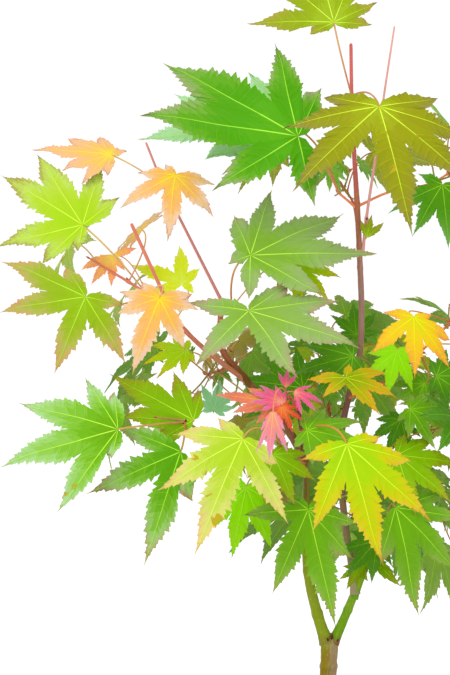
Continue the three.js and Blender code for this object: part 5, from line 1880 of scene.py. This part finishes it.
# Young maple bark: smooth living rind, green where it is youngest, flushed red or brown where the
# sun and age have reached it, with pale breathing pores and faint lengthwise fibres. The fibres
# are drawn 0.8 mm wide, coarser than the real ones, so that they show.
def bark_material(name):
    stops, flush = BARKS[name]
    material, tree, shader, place = blank_material(
        "maple_bark_" + name, stops[0][1], 0.42, 1.45, BARK_SHINE,
    )
    across = node(tree, "SeparateXYZ", {"Vector": place})
    low, high = stops[0][0], stops[-1][0]
    patches = node(tree, "TexNoise", {"Vector": place, "Scale": per_metre(9.0), "Detail": 4.0})
    shifted = node(
        tree, "Math", {0: patches.outputs["Fac"], 1: BARK_SHIFT * MM, 2: across.outputs["Z"]},
        operation="MULTIPLY_ADD",
    )
    height = node(
        tree, "MapRange",
        {
            "Value": shifted.outputs["Value"],
            "From Min": (low + BARK_SHIFT / 2) * MM, "From Max": (high + BARK_SHIFT / 2) * MM,
        },
    )
    ramp = node(tree, "ValToRGB", {"Fac": height.outputs["Result"]})
    points = ramp.color_ramp.elements
    for k, (at, colour) in enumerate(stops):
        place_on_ramp = (at - low) / (high - low)
        point = points[k] if k < 2 else points.new(place_on_ramp)
        point.position = place_on_ramp
        point.color = linear(colour)
    centre = Course(LIMBS[name][0]).at(0.5)[0]
    reach = LIMBS[name][1][0]
    fibres = node(
        tree, "Mapping", {"Vector": place, "Scale": (per_metre(0.8), per_metre(0.8), per_metre(7.0))},
    )
    fibre = node(tree, "TexNoise", {"Vector": fibres.outputs["Vector"], "Scale": 1.0, "Detail": 5.0})
    ragged = node(
        tree, "Math", {0: fibre.outputs["Fac"], 1: reach * 1.2 * MM, 2: across.outputs["X"]},
        operation="MULTIPLY_ADD",
    )
    right = node(
        tree, "MapRange",
        {
            "Value": ragged.outputs["Value"],
            "From Min": (centre + 0.5 * reach) * MM, "From Max": (centre + 1.1 * reach) * MM,
            "To Max": TRUNK_FLUSH if name == "trunk" else LIMB_FLUSH,
        },
    )
    flushed = node(
        tree, "Mix",
        {"Factor": right.outputs["Result"], "A": ramp.outputs["Color"], "B": linear(flush)},
        data_type="RGBA",
    )
    pores = node(
        tree, "Mapping", {"Vector": place, "Scale": (per_metre(1.5), per_metre(1.5), per_metre(2.4))},
    )
    pore = node(tree, "TexVoronoi", {"Vector": pores.outputs["Vector"], "Scale": 1.0, "Randomness": 1.0})
    dot = node(
        tree, "MapRange",
        {
            "Value": pore.outputs["Distance"], "From Min": 0.12, "From Max": 0.2,
            "To Min": 0.3, "To Max": 0.0,
        },
    )
    dotted = node(
        tree, "Mix",
        {"Factor": dot.outputs["Result"], "A": flushed.outputs["Result"], "B": linear(BARK_PORE)},
        data_type="RGBA",
    )
    dark = node(
        tree, "MapRange",
        {
            "Value": fibre.outputs["Fac"], "From Min": 0.35, "From Max": 0.6,
            "To Min": 0.16, "To Max": 0.0,
        },
    )
    shaded = node(
        tree, "Mix",
        {"Factor": dark.outputs["Result"], "A": dotted.outputs["Result"], "B": linear(BARK_FIBRE)},
        data_type="RGBA",
    )
    tree.links.new(shaded.outputs["Result"], shader.inputs["Base Color"])
    add_bump(tree, shader, fibre.outputs["Fac"], 0.6, 0.25)
    return material


# Unglazed stoneware: iron-bearing clay pressed in a mould and fired without glaze, matt and close,
# with dark iron specks and the faint level marks of a wet cloth.
def pot_material():
    material, tree, shader, place = blank_material("unglazed_stoneware", "#7C5240", 0.72, 1.5)
    cloud = node(
        tree, "TexNoise", {"Vector": place, "Scale": per_metre(38.0), "Detail": 6.0, "Roughness": 0.6},
    )
    warm = node(tree, "ValToRGB", {"Fac": cloud.outputs["Fac"]})
    warm.color_ramp.elements[0].position = 0.32
    warm.color_ramp.elements[0].color = linear("#6C4636")
    warm.color_ramp.elements[1].position = 0.68
    warm.color_ramp.elements[1].color = linear("#8E604A")
    specks = node(tree, "TexVoronoi", {"Vector": place, "Scale": per_metre(3.2)})
    speck = node(
        tree, "MapRange",
        {
            "Value": specks.outputs["Distance"], "From Min": 0.09, "From Max": 0.15,
            "To Min": 0.75, "To Max": 0.0,
        },
    )
    speckled = node(
        tree, "Mix",
        {"Factor": speck.outputs["Result"], "A": warm.outputs["Color"], "B": linear("#3A2620")},
        data_type="RGBA",
    )
    tree.links.new(speckled.outputs["Result"], shader.inputs["Base Color"])
    wiped = node(
        tree, "Mapping", {"Vector": place, "Scale": (per_metre(60.0), per_metre(60.0), per_metre(1.6))},
    )
    marks = node(tree, "TexNoise", {"Vector": wiped.outputs["Vector"], "Scale": 1.0, "Detail": 2.0})
    grit = node(tree, "TexNoise", {"Vector": place, "Scale": per_metre(0.8), "Detail": 4.0})
    height = node(tree, "Math", {0: marks.outputs["Fac"], 1: grit.outputs["Fac"]}, operation="ADD")
    add_bump(tree, shader, height.outputs["Value"], 0.45, 0.3)
    return material


# Fired clay granules, sieved for bonsai: dry, porous and matt, each a slightly different brown.
# Their pores are drawn 0.6 mm wide, as coarse as they need to show.
def granule_material(name, colour):
    material, tree, shader, place = blank_material(name, colour, 0.9, 1.5)
    porous = node(tree, "TexNoise", {"Vector": place, "Scale": per_metre(0.6), "Detail": 5.0})
    add_bump(tree, shader, porous.outputs["Fac"], 0.8, 0.25)
    return material


def limb_finish(finish):
    """The material of a limb, of the pot, of the soil or of a granule, made once for each."""
    if finish in FINISHES:
        return FINISHES[finish]
    if finish in LIMBS:
        made = bark_material(finish)
    elif finish == "pot":
        made = pot_material()
    elif finish == "soil":
        # The bed under the loose granules is a darker brown than they are
        made = granule_material("dark_bed_granules", "#5A3E2E")
    elif finish.startswith("grain."):
        made = granule_material("clay_granule_" + finish[6:], GRAIN_TINTS[int(finish[6:])])
    else:
        return leaf_finish(finish)
    FINISHES[finish] = made
    return made


# Floor, light and camera

FLOOR_SIZE = 24.0
KEY_PLACE = (-1.1, -1.5, 2.2)
KEY_SIZE = 1.6
KEY_WATTS = 26.0
SKY_STRENGTH = 1.06


def floor():
    data = bpy.data.meshes.new("studio_floor")
    half = FLOOR_SIZE / 2
    corners = [(-half, -half, 0), (half, -half, 0), (half, half, 0), (-half, half, 0)]
    data.from_pydata(corners, [], [(0, 1, 2, 3)])
    plane = bpy.data.objects.new("studio_floor", data)
    bpy.context.scene.collection.objects.link(plane)
    material, tree, shader, place = blank_material("pale_studio_floor", "#FDFDFC", 0.8, 1.3)
    fine = node(tree, "TexNoise", {"Vector": place, "Scale": per_metre(4.0), "Detail": 2.0})
    add_bump(tree, shader, fine.outputs["Fac"], 0.05, 0.1)
    data.materials.append(material)


def lights():
    world = bpy.data.worlds.new("studio")
    bpy.context.scene.world = world
    world.use_nodes = True
    sky = world.node_tree.nodes["Background"]
    sky.inputs["Color"].default_value = (1.0, 1.0, 1.0, 1.0)
    sky.inputs["Strength"].default_value = SKY_STRENGTH
    lamp = bpy.data.lights.new("key", "AREA")
    lamp.shape = "DISK"
    lamp.size = KEY_SIZE
    lamp.energy = KEY_WATTS
    key = bpy.data.objects.new("key", lamp)
    key.location = KEY_PLACE
    aim = Vector(VIEW_TARGET) * MM - Vector(KEY_PLACE)
    key.rotation_euler = aim.to_track_quat("-Z", "Y").to_euler()
    bpy.context.scene.collection.objects.link(key)
    bpy.context.scene.view_settings.view_transform = "Standard"


def camera():
    data = bpy.data.cameras.new("camera")
    data.sensor_fit = "HORIZONTAL"
    data.sensor_width = SENSOR_WIDTH
    data.lens = SENSOR_WIDTH * VIEW_DISTANCE / VIEW_WIDTH
    data.clip_start = 0.01
    data.clip_end = 100.0
    eye = bpy.data.objects.new("camera", data)
    raised = math.radians(VIEW_ELEVATION)
    target = Vector(VIEW_TARGET) * MM
    eye.location = target + Vector((0, -math.cos(raised), math.sin(raised))) * VIEW_DISTANCE * MM
    eye.rotation_euler = (target - eye.location).to_track_quat("-Z", "Y").to_euler()
    bpy.context.scene.collection.objects.link(eye)
    bpy.context.scene.camera = eye


camera()
floor()
lights()
grow_foliage()
pot_piece()
soil_pieces()
for number, name in enumerate(LIMBS):
    limb_piece(name, number)
for number, home in enumerate(FOLIAGE):
    mass_pieces(home, number)
